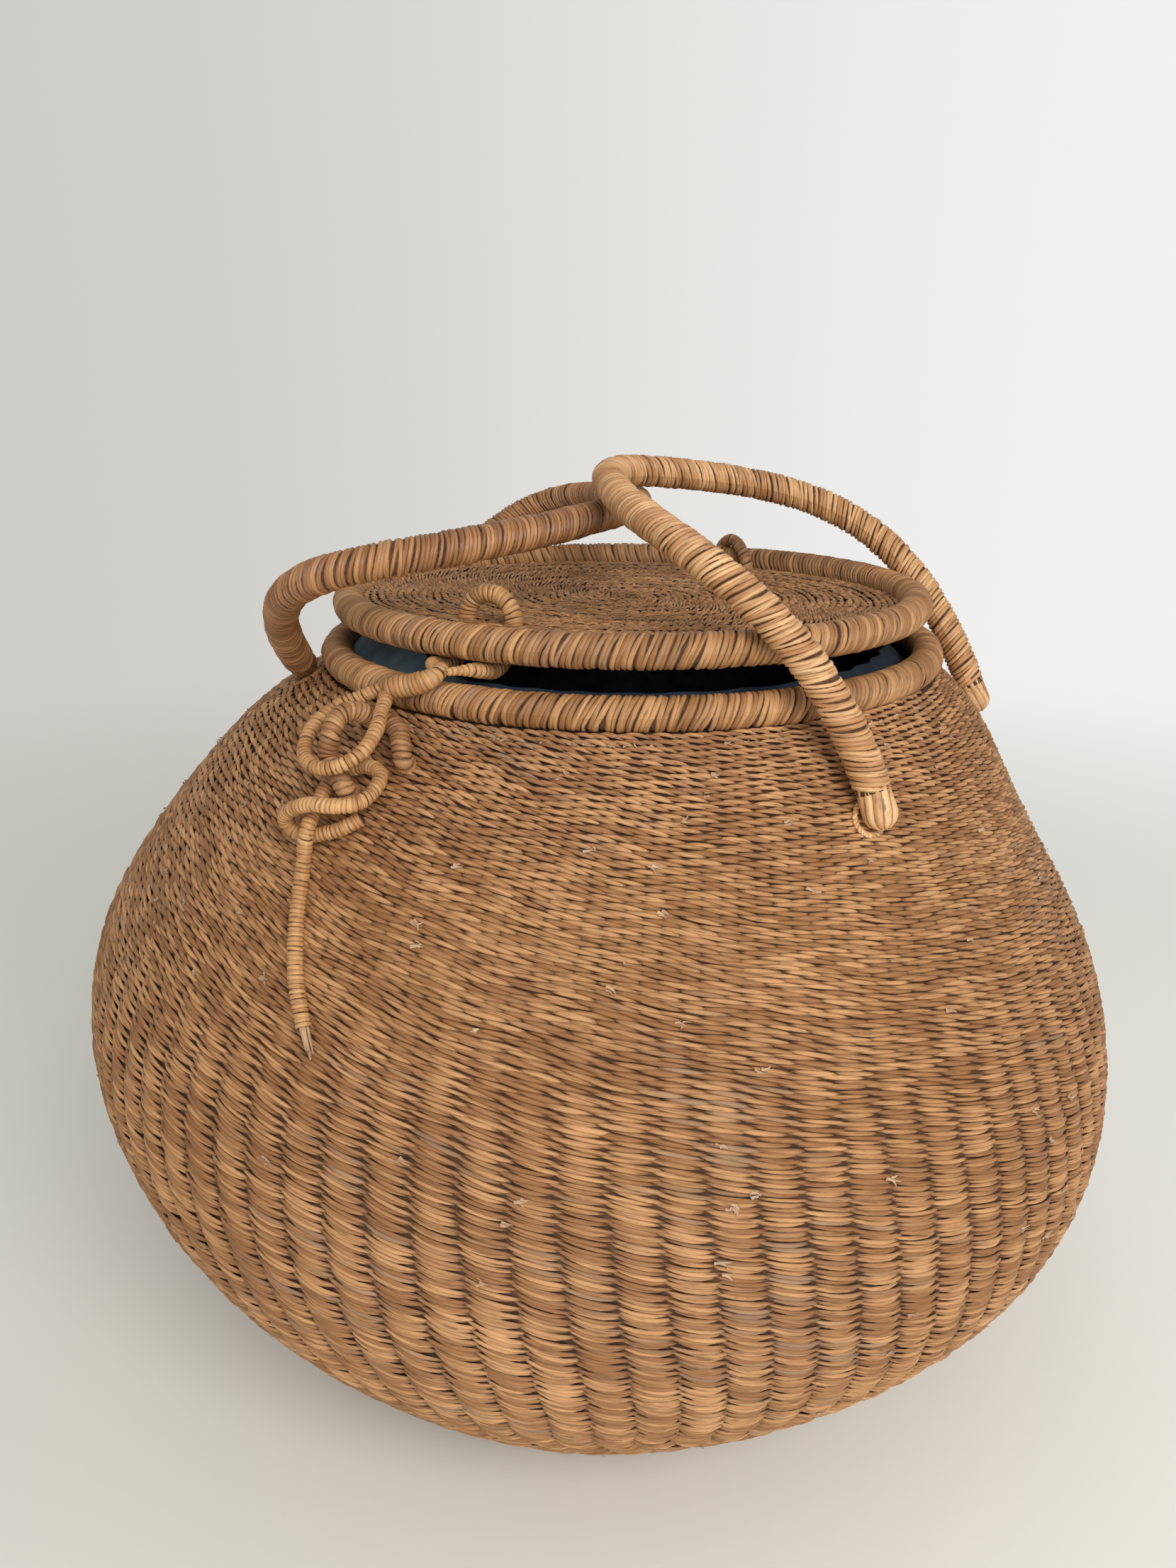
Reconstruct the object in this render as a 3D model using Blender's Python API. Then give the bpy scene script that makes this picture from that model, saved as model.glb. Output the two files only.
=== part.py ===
"""Pot-bellied laundry hamper of twined fibre with a hinged lid.

The wall is one weave from the floor up, and its top edge goes into a wrapped rim hoop. The lid, a
dished weave in its own wrapped hoop, turns in a cane ring at the back. Two wrapped handles fold
over it from their feet on the shoulders, and a cane hasp on the lid drops over a staple at the
front, where a wrapped tie is hitched. Metres, +Z up, clasp towards -Y.
"""
import math

import bmesh
import bpy
import numpy as np
from mathutils import Matrix, Vector

# Driving dimensions ---------------------------------------------------------------------------
GAP = 0.0003                    # between faces that touch
ROUND_GAP = 0.0005              # between round pieces that touch, and round what turns

BASE_RADIUS = 0.130
BELLY_RADIUS = 0.2604
BELLY_HEIGHT = 0.170
NECK_RADIUS = 0.148
NECK_HEIGHT = 0.3653
WALL = 0.004
# Shape of the wall, as (share of the height, share of the change in radius, sideways slump),
# from the base to the belly and from the belly to the neck
LOWER_WALL = ((0.0, 0.0, -0.012), (0.082, 0.215, -0.012), (0.294, 0.514, -0.010),
              (0.618, 0.851, -0.006))
UPPER_WALL = ((0.0, 0.0, -0.013), (0.337, 0.095, -0.019), (0.674, 0.449, -0.016),
              (0.905, 0.768, -0.006), (1.0, 1.0, 0.0))
SLUMP_AZIMUTH = math.radians(30)
STAKES = 36                     # upright ribs that the rows are twined round
RIB = 0.0009                    # how far a rib stands out
LOWER_ROWS = 10                 # of the weave's facets, below the right handle's feet

HOOP_RADIUS = 0.0075            # over the turns of the wrap
HOOP_CORE = 0.0045
HOOP_BORE = 0.0056              # inside the wrap
GROOVE = 0.0009                 # depth of the grooves between turns of a wrap
HOOP_TURNS = 32
RIM_SEAT = math.radians(32)     # rim hoop's centre from the wall's edge, against the wall's slope
LID_RADIUS = 0.139              # to the middle of the lid's hoop
LID_RISE = 0.024                # lid's hoop above the rim hoop, middle to middle
LID_WEAVE = 0.004
LID_DISH = 0.002                # how much lower the weave's centre is than its edge
LID_DROP = 0.001                # weave's middle below the hoop's
LID_TILT = math.radians(1.7)    # the weave sits higher in the hoop at the front
LID_STAKES = 32

HANDLE_RADIUS = 0.0076
HANDLE_CORE = 0.0052
HANDLE_TURNS = 27
FOOT_RADIUS = 0.0072            # ball that a handle turns on
WRAP_START = 0.0080             # from a foot's centre to the first turn
TIP_BEND = 0.050                # share of each arm that the tip's bend takes
# A handle is set by its feet (azimuths, and distance below the neck edge), by how far its tip
# reaches past the hamper's axis and above the lid's hoop, and by the curve of an arm between,
# as shares of the reach inwards, of the rise, and of half the distance between the feet
# where they cross, the right handle lies on the left one
RIGHT_HANDLE = dict(feet=(-26.0, 37.5), below=0.0546, past=0.011, rise=0.0457 + 2 * HANDLE_RADIUS,
                    arm=((0.145, 0.50, 0.925), (0.346, 0.83, 1.085), (0.673, 0.907, 1.212)))
LEFT_HANDLE = dict(feet=(170.0, 223.0), below=0.0114, past=0.0052, rise=0.0447,
                   arm=((0.128, 0.602, 2.05), (0.293, 0.963, 2.38), (0.638, 0.809, 2.58)))
COLLAR_BORE = 0.0060
COLLAR_RADIUS = 0.0090
COLLAR_HEIGHT = 0.0016

HINGE_AZIMUTH = math.radians(93)
HINGE_CANE = 0.0034
HINGE_SKEW = 0.027              # the ring leans round the hoops by this much
# The ring's way round both hoops: hoop, angle round its section, gap to it, share of the skew
HINGE_RING = (("lid", 180, 0.0009, -0.42), ("lid", 90, 0.0005, 0.14), ("lid", 12, 0.0013, 0.55),
              ("rim", 0, 0.0012, 0.58), ("rim", -59, 0.0012, 0.45), ("rim", -108, 0.0020, 0.05),
              ("rim", -158, 0.0020, -0.35))
HINGE_SLOT = (0.021, 0.0115)    # in the lid's weave: along its edge, and in from it

HASP_AZIMUTH = math.radians(-91)
HASP_PIVOT = (0.0110, -0.0105)  # outwards and upwards from the middle of the lid's hoop
HASP_EYE = 0.0040               # ball at the top of the neck
HASP_NECK = 0.0048
HASP_STRAND = 0.0017            # cane, in the neck
HASP_CANE = 0.0030              # cane and its wrap, in the ring
ARCH_CANE = 0.0040
ARCH_LEG = 0.0028
ARCH_HALF = 0.0145              # half the distance between the arch's feet
ARCH_INSET = 0.0220             # from the middle of the lid's hoop in to the arch
ARCH_RISE = 0.0125

CLASP_AZIMUTH = math.radians(-93.5)
CLASP_BELOW = 0.0383            # clasp's origin below the neck edge
STAPLE_CANE = 0.0042
TIE_RADIUS = 0.0032
REED_RADIUS = 0.0023
REED_LENGTH = 0.013
# Points on the shoulder, across, up and out from the wall at the clasp's origin
HASP_SPLIT = (-0.0147, 0.0300, 0.0150)
HASP_RING = ((-0.0088, 0.0268, 0.0153), (-0.0047, 0.0223, 0.0157), (0.0032, 0.0131, 0.0168),
             (0.0067, 0.0063, 0.0177), (0.0074, 0.0005, 0.0184), (0.0029, -0.0057, 0.0190),
             (-0.0075, -0.0083, 0.0188), (-0.0175, -0.0050, 0.0182), (-0.0256, 0.0029, 0.0174),
             (-0.0293, 0.0119, 0.0164), (-0.0268, 0.0204, 0.0156), (-0.0215, 0.0264, 0.0150))
STAPLE = ((0.0130, 0.0090, 0.0025), (0.0065, 0.0160, 0.0058), (-0.0040, 0.0215, 0.0070),
          (-0.0115, 0.0195, 0.0118), (-0.0125, 0.0165, 0.0180), (-0.0120, 0.0100, 0.0222),
          (-0.0105, 0.0035, 0.0200), (-0.0110, -0.0010, 0.0145), (-0.0065, -0.0045, 0.0108),
          (-0.0015, -0.0080, 0.0080), (-0.0005, -0.0095, 0.0025))
TIE = ((0.0130, -0.0180, 0.0038), (0.0080, -0.0230, 0.0038), (-0.0010, -0.0280, 0.0038),
       (-0.0100, -0.0300, 0.0055), (-0.0135, -0.0280, 0.0100), (-0.0080, -0.0240, 0.0155),
       (0.0010, -0.0210, 0.0175), (0.0090, -0.0190, 0.0155), (0.0142, -0.0145, 0.0112),
       (0.0135, -0.0060, 0.0070), (0.0090, 0.0005, 0.0045), (0.0015, 0.0030, 0.0038),
       (-0.0065, 0.0005, 0.0037), (-0.0118, -0.0065, 0.0040), (-0.0100, -0.0140, 0.0050),
       (-0.0062, -0.0205, 0.0072), (-0.0012, -0.0280, 0.0108), (0.0000, -0.0350, 0.0080),
       (0.0020, -0.0440, 0.0046), (0.0070, -0.0570, 0.0040), (0.0130, -0.0710, 0.0040),
       (0.0200, -0.0860, 0.0040), (0.0262, -0.0975, 0.0040))

LINER = 0.0015
LINER_GAP = 0.0035              # between the liner and the wall
LINER_MOUTH = 0.1255
LINER_TOP = 0.0035              # liner's edge above the middle of the rim hoop


# Curves ---------------------------------------------------------------------------------------
def unit(vector):
    return vector / np.linalg.norm(vector)


def polar(azimuth, radius, height=0.0):
    return np.array([radius * math.cos(azimuth), radius * math.sin(azimuth), height])


def spline(points):
    """Natural cubic spline, as a function of the distance from point to point, and its length."""
    points = np.asarray(points, float)
    steps = np.linalg.norm(np.diff(points, axis=0), axis=1)
    knots = np.concatenate([[0.0], np.cumsum(steps)])
    matrix = np.eye(len(points))
    sides = np.zeros_like(points)
    for i in range(1, len(points) - 1):
        matrix[i, i - 1:i + 2] = steps[i - 1], 2 * (steps[i - 1] + steps[i]), steps[i]
        sides[i] = 6 * ((points[i + 1] - points[i]) / steps[i]
                        - (points[i] - points[i - 1]) / steps[i - 1])
    bend = np.linalg.solve(matrix, sides)

    def at(where):
        i = min(max(int(np.searchsorted(knots, where)) - 1, 0), len(steps) - 1)
        step = steps[i]
        before = where - knots[i]
        after = step - before
        cubic = (bend[i] * after ** 3 + bend[i + 1] * before ** 3) / (6 * step)
        linear = ((points[i] / step - bend[i] * step / 6) * after
                  + (points[i + 1] / step - bend[i + 1] * step / 6) * before)
        return cubic + linear

    return at, knots[-1]


def smooth(points, count):
    at, length = spline(points)
    return np.array([at(length * i / (count - 1)) for i in range(count)])


def smooth_loop(points, count):
    """A closed curve: the spline overlaps itself at both ends, and its middle is kept."""
    points = np.asarray(points, float)
    lapped = np.concatenate([points[-3:], points, points[:4]])
    steps = np.linalg.norm(np.diff(lapped, axis=0), axis=1)
    start = steps[:3].sum()
    turn = steps[3:3 + len(points)].sum()
    at, _ = spline(lapped)
    return np.array([at(start + turn * i / count) for i in range(count)])


def bezier(controls, count, end=1.0):
    rows = []
    for t in np.linspace(0, end, count):
        points = np.asarray(controls, float)
        while len(points) > 1:
            points = points[:-1] * (1 - t) + points[1:] * t
        rows.append(points[0])
    return np.array(rows)


def frames(path, closed=False):
    """Two crosswise directions at each point of a path, carried along it without twist."""
    count = len(path)
    pairs = []
    side = None
    for i in range(count):
        ahead = path[(i + 1) % count] if closed else path[min(i + 1, count - 1)]
        behind = path[i - 1] if closed or i else path[0]
        along = unit(ahead - behind)
        if side is None:
            side = np.cross(along, [0.0, 0.0, 1.0] if abs(along[2]) < 0.9 else [1.0, 0.0, 0.0])
        side = unit(side - along * (side @ along))
        pairs.append((side, np.cross(along, side)))
    return pairs


def circle(centre, pair, radius, sides):
    turns = (math.tau * i / sides for i in range(sides))
    return [centre + radius * (pair[0] * math.cos(a) + pair[1] * math.sin(a)) for a in turns]


# The wall's outer face ------------------------------------------------------------------------
def wall_rings():
    rings = [(BASE_RADIUS + spread * (BELLY_RADIUS - BASE_RADIUS), rise * BELLY_HEIGHT, slump)
             for rise, spread, slump in LOWER_WALL]
    rings += [(BELLY_RADIUS + spread * (NECK_RADIUS - BELLY_RADIUS),
               BELLY_HEIGHT + rise * (NECK_HEIGHT - BELLY_HEIGHT), slump)
              for rise, spread, slump in UPPER_WALL]
    return rings


PROFILE, CLIMB = spline(wall_rings())    # CLIMB: up along the wall from the base's edge to the neck


def rib(azimuth, climb):
    """How far the weave lies below the stakes' crests: none on a stake and at the wall's edges."""
    between = 1 - abs(1 - azimuth * STAKES / math.pi % 2)
    last = min(RIGHT_HANDLE["below"], LEFT_HANDLE["below"])
    return RIB * between * max(0.0, min(1.0, (CLIMB - climb) / last, climb / last))


def wall_climbs():
    """Levels of the weave's facets, with one at each pair of handle feet."""
    feet = sorted((CLIMB - RIGHT_HANDLE["below"], CLIMB - LEFT_HANDLE["below"]))
    climbs = [feet[0] * i / LOWER_ROWS for i in range(LOWER_ROWS)]
    return climbs + [feet[0], (feet[0] + feet[1]) / 2, feet[1], CLIMB]


def wall_point(azimuth, climb, out=0.0):
    """A point on the wall's outer face, or off it along its normal."""
    radius, height, slump = PROFILE(climb)
    here = polar(azimuth, radius, height) + polar(SLUMP_AZIMUTH, slump)
    return here + out * wall_normal(azimuth, climb) if out else here


def wall_normal(azimuth, climb):
    across = wall_point(azimuth + 0.001, climb) - wall_point(azimuth - 0.001, climb)
    up = wall_point(azimuth, climb + 0.0005) - wall_point(azimuth, climb - 0.0005)
    return unit(np.cross(across, up))


def clasp_point(across, up, out):
    climb = CLIMB - CLASP_BELOW
    return wall_point(CLASP_AZIMUTH + across / PROFILE(climb)[0], climb + up, out)


# The hoops, as (radius, height) of their middles ----------------------------------------------
NECK_SLOPE = unit((PROFILE(CLIMB) - PROFILE(CLIMB - 0.001))[:2])
NECK_NORMAL = np.array([-NECK_SLOPE[1], NECK_SLOPE[0]]) * -1
RIM = (np.array([NECK_RADIUS, NECK_HEIGHT])
       + (HOOP_CORE + ROUND_GAP) * (math.cos(RIM_SEAT) * NECK_SLOPE + math.sin(RIM_SEAT) * NECK_NORMAL))
LID = np.array([LID_RADIUS, RIM[1] + LID_RISE])
LID_EDGE = LID_RADIUS * math.cos(math.pi / HOOP_TURNS) - HOOP_CORE - ROUND_GAP


def lid_height(azimuth, radius):
    """Height of the middle of the lid's weave."""
    lean = -math.sin(azimuth) * radius * math.tan(LID_TILT)
    return LID[1] - LID_DROP + lean - LID_DISH * (1 - (radius / LID_EDGE) ** 2)


def wrap_edges(direction, offset, thickness):
    """Angles round a hoop's section between which its wrap opens for a sheet's edge.

    The sheet lies in the direction given, and its middle is offset towards smaller angles.
    """
    half = thickness / 2 + 2 * ROUND_GAP
    sines = [max(-1.0, min(1.0, (offset + side * half) / HOOP_RADIUS)) for side in (1, -1)]
    return [direction - math.asin(sine) for sine in sines]


# Objects --------------------------------------------------------------------------------------
def material(name, colour, roughness):
    made = bpy.data.materials.new(name)
    made.use_nodes = True
    shader = made.node_tree.nodes["Principled BSDF"]
    shader.inputs["Base Color"].default_value = (*colour, 1.0)
    shader.inputs["Roughness"].default_value = roughness
    shader.inputs["Metallic"].default_value = 0.0
    made.diffuse_color = (*colour, 1.0)
    return made


def frame_of(pivot):
    """Where a pivot stands in the hamper's own frame, which the root empty carries."""
    matrix = Matrix()
    while pivot.parent:
        matrix = pivot.matrix_basis @ matrix
        pivot = pivot.parent
    return matrix


def joint(name, place, axis, parent):
    """An empty on a joint's axis, its own X along the axis."""
    pivot = bpy.data.objects.new(name, None)
    pivot.empty_display_size = 0.03
    pivot.parent = parent
    turn = Vector(axis).to_track_quat("X", "Z").to_matrix().to_4x4()
    pivot.matrix_basis = frame_of(parent).inverted() @ Matrix.Translation(Vector(place)) @ turn
    bpy.context.scene.collection.objects.link(pivot)
    return pivot


def add(name, mesh, pivot, look=None):
    """Puts a mesh, drawn in the hamper's frame, on a pivot."""
    made = bpy.data.objects.new(name, mesh)
    mesh.name = name
    mesh.transform(frame_of(pivot).inverted())
    made.parent = pivot
    if look:
        mesh.materials.append(look)
    bpy.context.scene.collection.objects.link(made)
    return made


def loft(rings, closed=False):
    """Skins rings in order. Its two ends are filled, unless the last ring meets the first."""
    bm = bmesh.new()
    rows = [[bm.verts.new(point) for point in ring] for ring in rings]
    for lower, upper in zip(rows, rows[1:] + rows[:1] if closed else rows[1:]):
        for i in range(len(lower)):
            j = (i + 1) % len(lower)
            bm.faces.new((lower[i], lower[j], upper[j], upper[i]))
    if not closed:
        bm.faces.new(rows[0])
        bm.faces.new(rows[-1])
    bmesh.ops.recalc_face_normals(bm, faces=bm.faces)
    mesh = bpy.data.meshes.new("loft")
    bm.to_mesh(mesh)
    bm.free()
    mesh.shade_smooth()
    mesh.set_sharp_from_angle(angle=math.radians(50))
    return mesh


def rod(path, radii, sides=8, ends=True):
    """A solid rod along a path, its ends rounded over."""
    path = list(path)
    radii = [radii] * len(path) if np.isscalar(radii) else list(radii)
    if ends:
        for end, inner in ((0, 1), (-1, -2)):
            away = unit(path[end] - path[inner]) * radii[end]
            cap = [(path[end] + away * 0.9, radii[end] * 0.42),
                   (path[end] + away * 0.55, radii[end] * 0.83)]
            if end == 0:
                path = [point for point, _ in cap] + path
                radii = [radius for _, radius in cap] + radii
            else:
                path = path + [point for point, _ in cap[::-1]]
                radii = radii + [radius for _, radius in cap[::-1]]
    return loft([circle(point, pair, radius, sides)
                 for point, pair, radius in zip(path, frames(path), radii)])


def cut(body, tools, pivot):
    """Cuts tools, drawn in the hamper's frame, out of a body."""
    for i, mesh in enumerate(tools):
        tool = add(f"{body.name}_cutter_{i}", mesh, pivot)
        tool.hide_render = True
        tool.display_type = "WIRE"
        modifier = body.modifiers.new(tool.name, "BOOLEAN")
        modifier.operation = "DIFFERENCE"
        modifier.solver = "EXACT"
        modifier.object = tool


def block(centre, azimuth, size):
    """A box cutter turned to face an azimuth: size outwards, along and up."""
    bm = bmesh.new()
    turned = Matrix.Translation(Vector(centre)) @ Matrix.Rotation(azimuth, 4, "Z")
    place = turned @ Matrix.Diagonal((*size, 1))
    bmesh.ops.create_cube(bm, size=1, matrix=place)
    mesh = bpy.data.meshes.new("block")
    bm.to_mesh(mesh)
    bm.free()
    return mesh


# Hoops ----------------------------------------------------------------------------------------
def hoop_core(hoop):
    rings = []
    for i in range(HOOP_TURNS):
        azimuth = math.tau * i / HOOP_TURNS
        pair = (polar(azimuth, 1.0), np.array([0.0, 0.0, 1.0]))
        rings.append(circle(polar(azimuth, *hoop), pair, HOOP_CORE, 8))
    return loft(rings, closed=True)


def hoop_wrap(hoop, edges):
    """A hoop's wrap, grooved between turns and open where a sheet's edge comes in."""
    rings = []
    for i in range(2 * HOOP_TURNS):
        azimuth = math.tau * i / (2 * HOOP_TURNS)
        first, last = edges(azimuth)
        outer = HOOP_RADIUS - (0 if i % 2 else GROOVE)
        # between two of the core's rings the bore follows its straight side
        chord = math.cos(math.pi / HOOP_TURNS) if i % 2 else 1.0
        section = [(hoop[0], outer, a) for a in np.linspace(last, first + math.tau, 7)]
        section += [(hoop[0] * chord, HOOP_BORE, a)
                    for a in np.linspace(first + math.tau, last, 7)]
        rings.append([polar(azimuth, middle + radius * math.cos(a), hoop[1] + radius * math.sin(a))
                      for middle, radius, a in section])
    return loft(rings, closed=True)


# Basket ---------------------------------------------------------------------------------------
def wall_outside():
    """Rings of the wall's outer face, ribbed where the weave runs over the stakes."""
    spots = [math.tau * i / (2 * STAKES) for i in range(2 * STAKES)]
    return [[wall_point(azimuth, climb, -rib(azimuth, climb)) for azimuth in spots]
            for climb in wall_climbs()]


def basket_wall():
    """Floor and wall in one weave."""
    spots = [math.tau * i / (2 * STAKES) for i in range(2 * STAKES)]
    rings = wall_outside()
    climbs = wall_climbs()
    rings += [[wall_point(azimuth, climb, -WALL) for azimuth in spots] for climb in climbs[::-1]]
    rings.append([wall_point(azimuth, 0.0) * (0.95, 0.95, 1) + (0, 0, WALL) for azimuth in spots])
    return loft(rings)


def liner():
    """A cloth bag inside the wall, drawn in to the mouth."""
    spots = [math.tau * i / 28 for i in range(28)]
    depth = WALL + LINER_GAP
    skins = []
    for inset in (0.0, LINER):
        floor = WALL + GAP * 2 + inset
        rings = [[wall_point(a, 0.0) * (0.85, 0.85, 0) + (0, 0, floor) for a in spots]]
        for climb in wall_climbs()[:-3]:
            rings.append([wall_point(a, climb, -depth - inset) for a in spots])
        for height in (RIM[1] - 0.013, RIM[1] + LINER_TOP):
            rings.append([polar(a, LINER_MOUTH - inset, height) for a in spots])
        skins.append(rings)
    return loft(skins[0] + skins[1][::-1])


def hinge_ring_path():
    hoops = {"lid": LID, "rim": RIM}
    points = []
    for name, angle, gap, share in HINGE_RING:
        reach = HOOP_RADIUS + HINGE_CANE + gap
        radius = hoops[name][0] + reach * math.cos(math.radians(angle))
        height = hoops[name][1] + reach * math.sin(math.radians(angle))
        points.append(polar(HINGE_AZIMUTH + share * HINGE_SKEW / LID_RADIUS, radius, height))
    return smooth_loop(points, 30)


def staple_path():
    """From the wall's inner face, out through the weave, round and back in."""
    ends = [[clasp_point(*foot[:2], out) for out in (-WALL - 0.001, -0.001)]
            for foot in (STAPLE[0], STAPLE[-1])]
    return smooth(ends[0] + [clasp_point(*point) for point in STAPLE] + ends[1][::-1], 30)


def hole_round(path, radius):
    """A cutter that clears a cane along a stretch of its path, and a little past both ends."""
    first = path[0] + unit(path[0] - path[1]) * 0.004
    last = path[-1] + unit(path[-1] - path[-2]) * 0.004
    return rod([first, *path, last], radius + ROUND_GAP, 10, ends=False)


def collar(azimuth, climb):
    """A flat binding on the wall round a handle's foot."""
    rings = []
    radius_here = PROFILE(climb)[0]
    for i in range(14):
        a = math.tau * i / 14
        corner = []
        for reach, out in ((COLLAR_BORE, 0.0), (COLLAR_RADIUS, 0.0), (COLLAR_RADIUS, COLLAR_HEIGHT / 2),
                           (COLLAR_BORE + 0.001, COLLAR_HEIGHT)):
            turn = azimuth + reach * math.cos(a) / radius_here
            level = climb + reach * math.sin(a)
            corner.append(wall_point(turn, level, GAP + out - rib(turn, level)))
        rings.append(corner)
    return loft(rings, closed=True)


# Lid ------------------------------------------------------------------------------------------
def lid_weave():
    """A dished disc, ribbed along its stakes."""
    count = 2 * LID_STAKES
    spots = [math.tau * i / count for i in range(count)]
    skins = []
    for side in (-1, 1):
        rings = []
        for share in (0.12, 0.5, 0.8, 1.0):
            sunk = RIB * 0.6 if 0.12 < share < 1.0 else 0.0
            rings.append([polar(a, share * LID_EDGE, lid_height(a, share * LID_EDGE)
                                + side * (LID_WEAVE / 2 - sunk * (i % 2)))
                          for i, a in enumerate(spots)])
        skins.append(rings)
    return loft(skins[0] + skins[1][::-1])


def lid_point(across, radius, height):
    """A point near the hasp, by its distance along the hoop, its radius and its height."""
    return polar(HASP_AZIMUTH + across / LID_RADIUS, radius, height)


def arch_path():
    """The hasp's cane on the lid: from the pivot in under the hoop, up, over and back."""
    pivot = LID + HASP_PIVOT
    reach = HASP_EYE + ROUND_GAP + ARCH_LEG
    under = LID[1] - HOOP_RADIUS - ARCH_LEG - ROUND_GAP
    foot = LID[0] - ARCH_INSET
    weave = lid_height(HASP_AZIMUTH, foot)
    half = ((reach, pivot[0], pivot[1]), (reach + 0.0035, LID[0] + 0.003, under),
            (ARCH_HALF - 0.0015, LID[0] - HOOP_RADIUS - 0.003, under - 0.0015),
            (ARCH_HALF, foot + 0.001, weave - 0.002), (ARCH_HALF - 0.0005, foot - 0.0005, weave + 0.006),
            (ARCH_HALF * 0.55, foot - 0.001, weave + ARCH_RISE))
    left = [lid_point(-across, radius, height) for across, radius, height in half]
    right = [lid_point(across, radius, height) for across, radius, height in half]
    return smooth(left + right[::-1], 31)


def near_weave(path):
    """The stretches of a path that pass through the lid's weave, for their holes."""
    inside = [i for i, point in enumerate(path)
              if abs(point[2] - lid_height(HASP_AZIMUTH, math.hypot(*point[:2]))) < LID_WEAVE * 1.6]
    middle = len(path) // 2
    halves = [[i for i in inside if i < middle], [i for i in inside if i > middle]]
    return [path[min(half):max(half) + 1] for half in halves]


# Hasp -----------------------------------------------------------------------------------------
def neck_path():
    """The hasp's neck, from its pivot over the rim hoop to where its ring splits."""
    points = [lid_point(across, LID[0] + out, LID[1] + up) for across, out, up in
              ((0.0, *HASP_PIVOT), (-0.0010, 0.0160, -0.0130), (-0.0075, 0.0196, -0.0160),
               (-0.0141, 0.0224, -0.0180))]
    return spline(points + [clasp_point(*HASP_SPLIT)])


def neck_frames(points):
    """Directions across the neck, along the shoulder, and out from it."""
    over = wall_normal(CLASP_AZIMUTH, CLIMB - CLASP_BELOW)
    pairs = []
    for i in range(len(points)):
        along = unit(points[min(i + 1, len(points) - 1)] - points[max(i - 1, 0)])
        side = unit(np.cross(over, along))
        pairs.append((side, np.cross(along, side)))
    return pairs


def hasp_binding():
    """The neck's wrap, closed over its ball at the pivot and open where the ring splits."""
    at, length = neck_path()
    mouth = length - 0.0055
    outer = [at(mouth * (1 - i / 8)) for i in range(9)]
    outer_radii = [HASP_NECK] * 6 + [(HASP_NECK + HASP_EYE) / 2, HASP_EYE, HASP_EYE]
    top = unit(outer[-1] - outer[-2]) * HASP_EYE
    outer += [outer[-1] + top * 0.55, outer[-1] + top * 0.9]
    outer_radii += [HASP_EYE * 0.83, HASP_EYE * 0.42]
    inner = [at(0.0085 + (mouth - 0.0085) * i / 6) for i in range(7)]
    bore = HASP_NECK - 0.0004
    rings = [circle(p, pair, bore, 10) for p, pair in zip(inner, neck_frames(inner))]
    rings += [circle(p, (-a, b), r, 10) for p, (a, b), r in
              zip(outer, neck_frames(outer), outer_radii)]
    return loft(rings)


def hasp_cane():
    """One cane bent double: up the neck on both sides, and round the ring."""
    at, length = neck_path()
    points = [at(0.0095 + (length - 0.0115) * i / 5) for i in range(6)]
    sides = [side for side, _ in neck_frames(points)]
    apart = HASP_STRAND + 0.0002
    down = [point + side * apart for point, side in zip(points, sides)]
    back = [point - side * apart for point, side in zip(points, sides)][::-1]
    ring = [clasp_point(*point) for point in HASP_RING]
    at, length = spline(down + ring + back)
    count = 60
    path = [at(length * i / (count - 1)) for i in range(count)]
    neck = sum(np.linalg.norm(b - a) for a, b in zip(down, down[1:]))
    radii = []
    for i in range(count):
        along = length * i / (count - 1)
        swell = min(1.0, max(0.0, (min(along, length - along) - neck - 0.001) / 0.008))
        radii.append(HASP_STRAND + swell * (HASP_CANE - HASP_STRAND))
    return rod(path, radii, ends=False)


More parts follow.
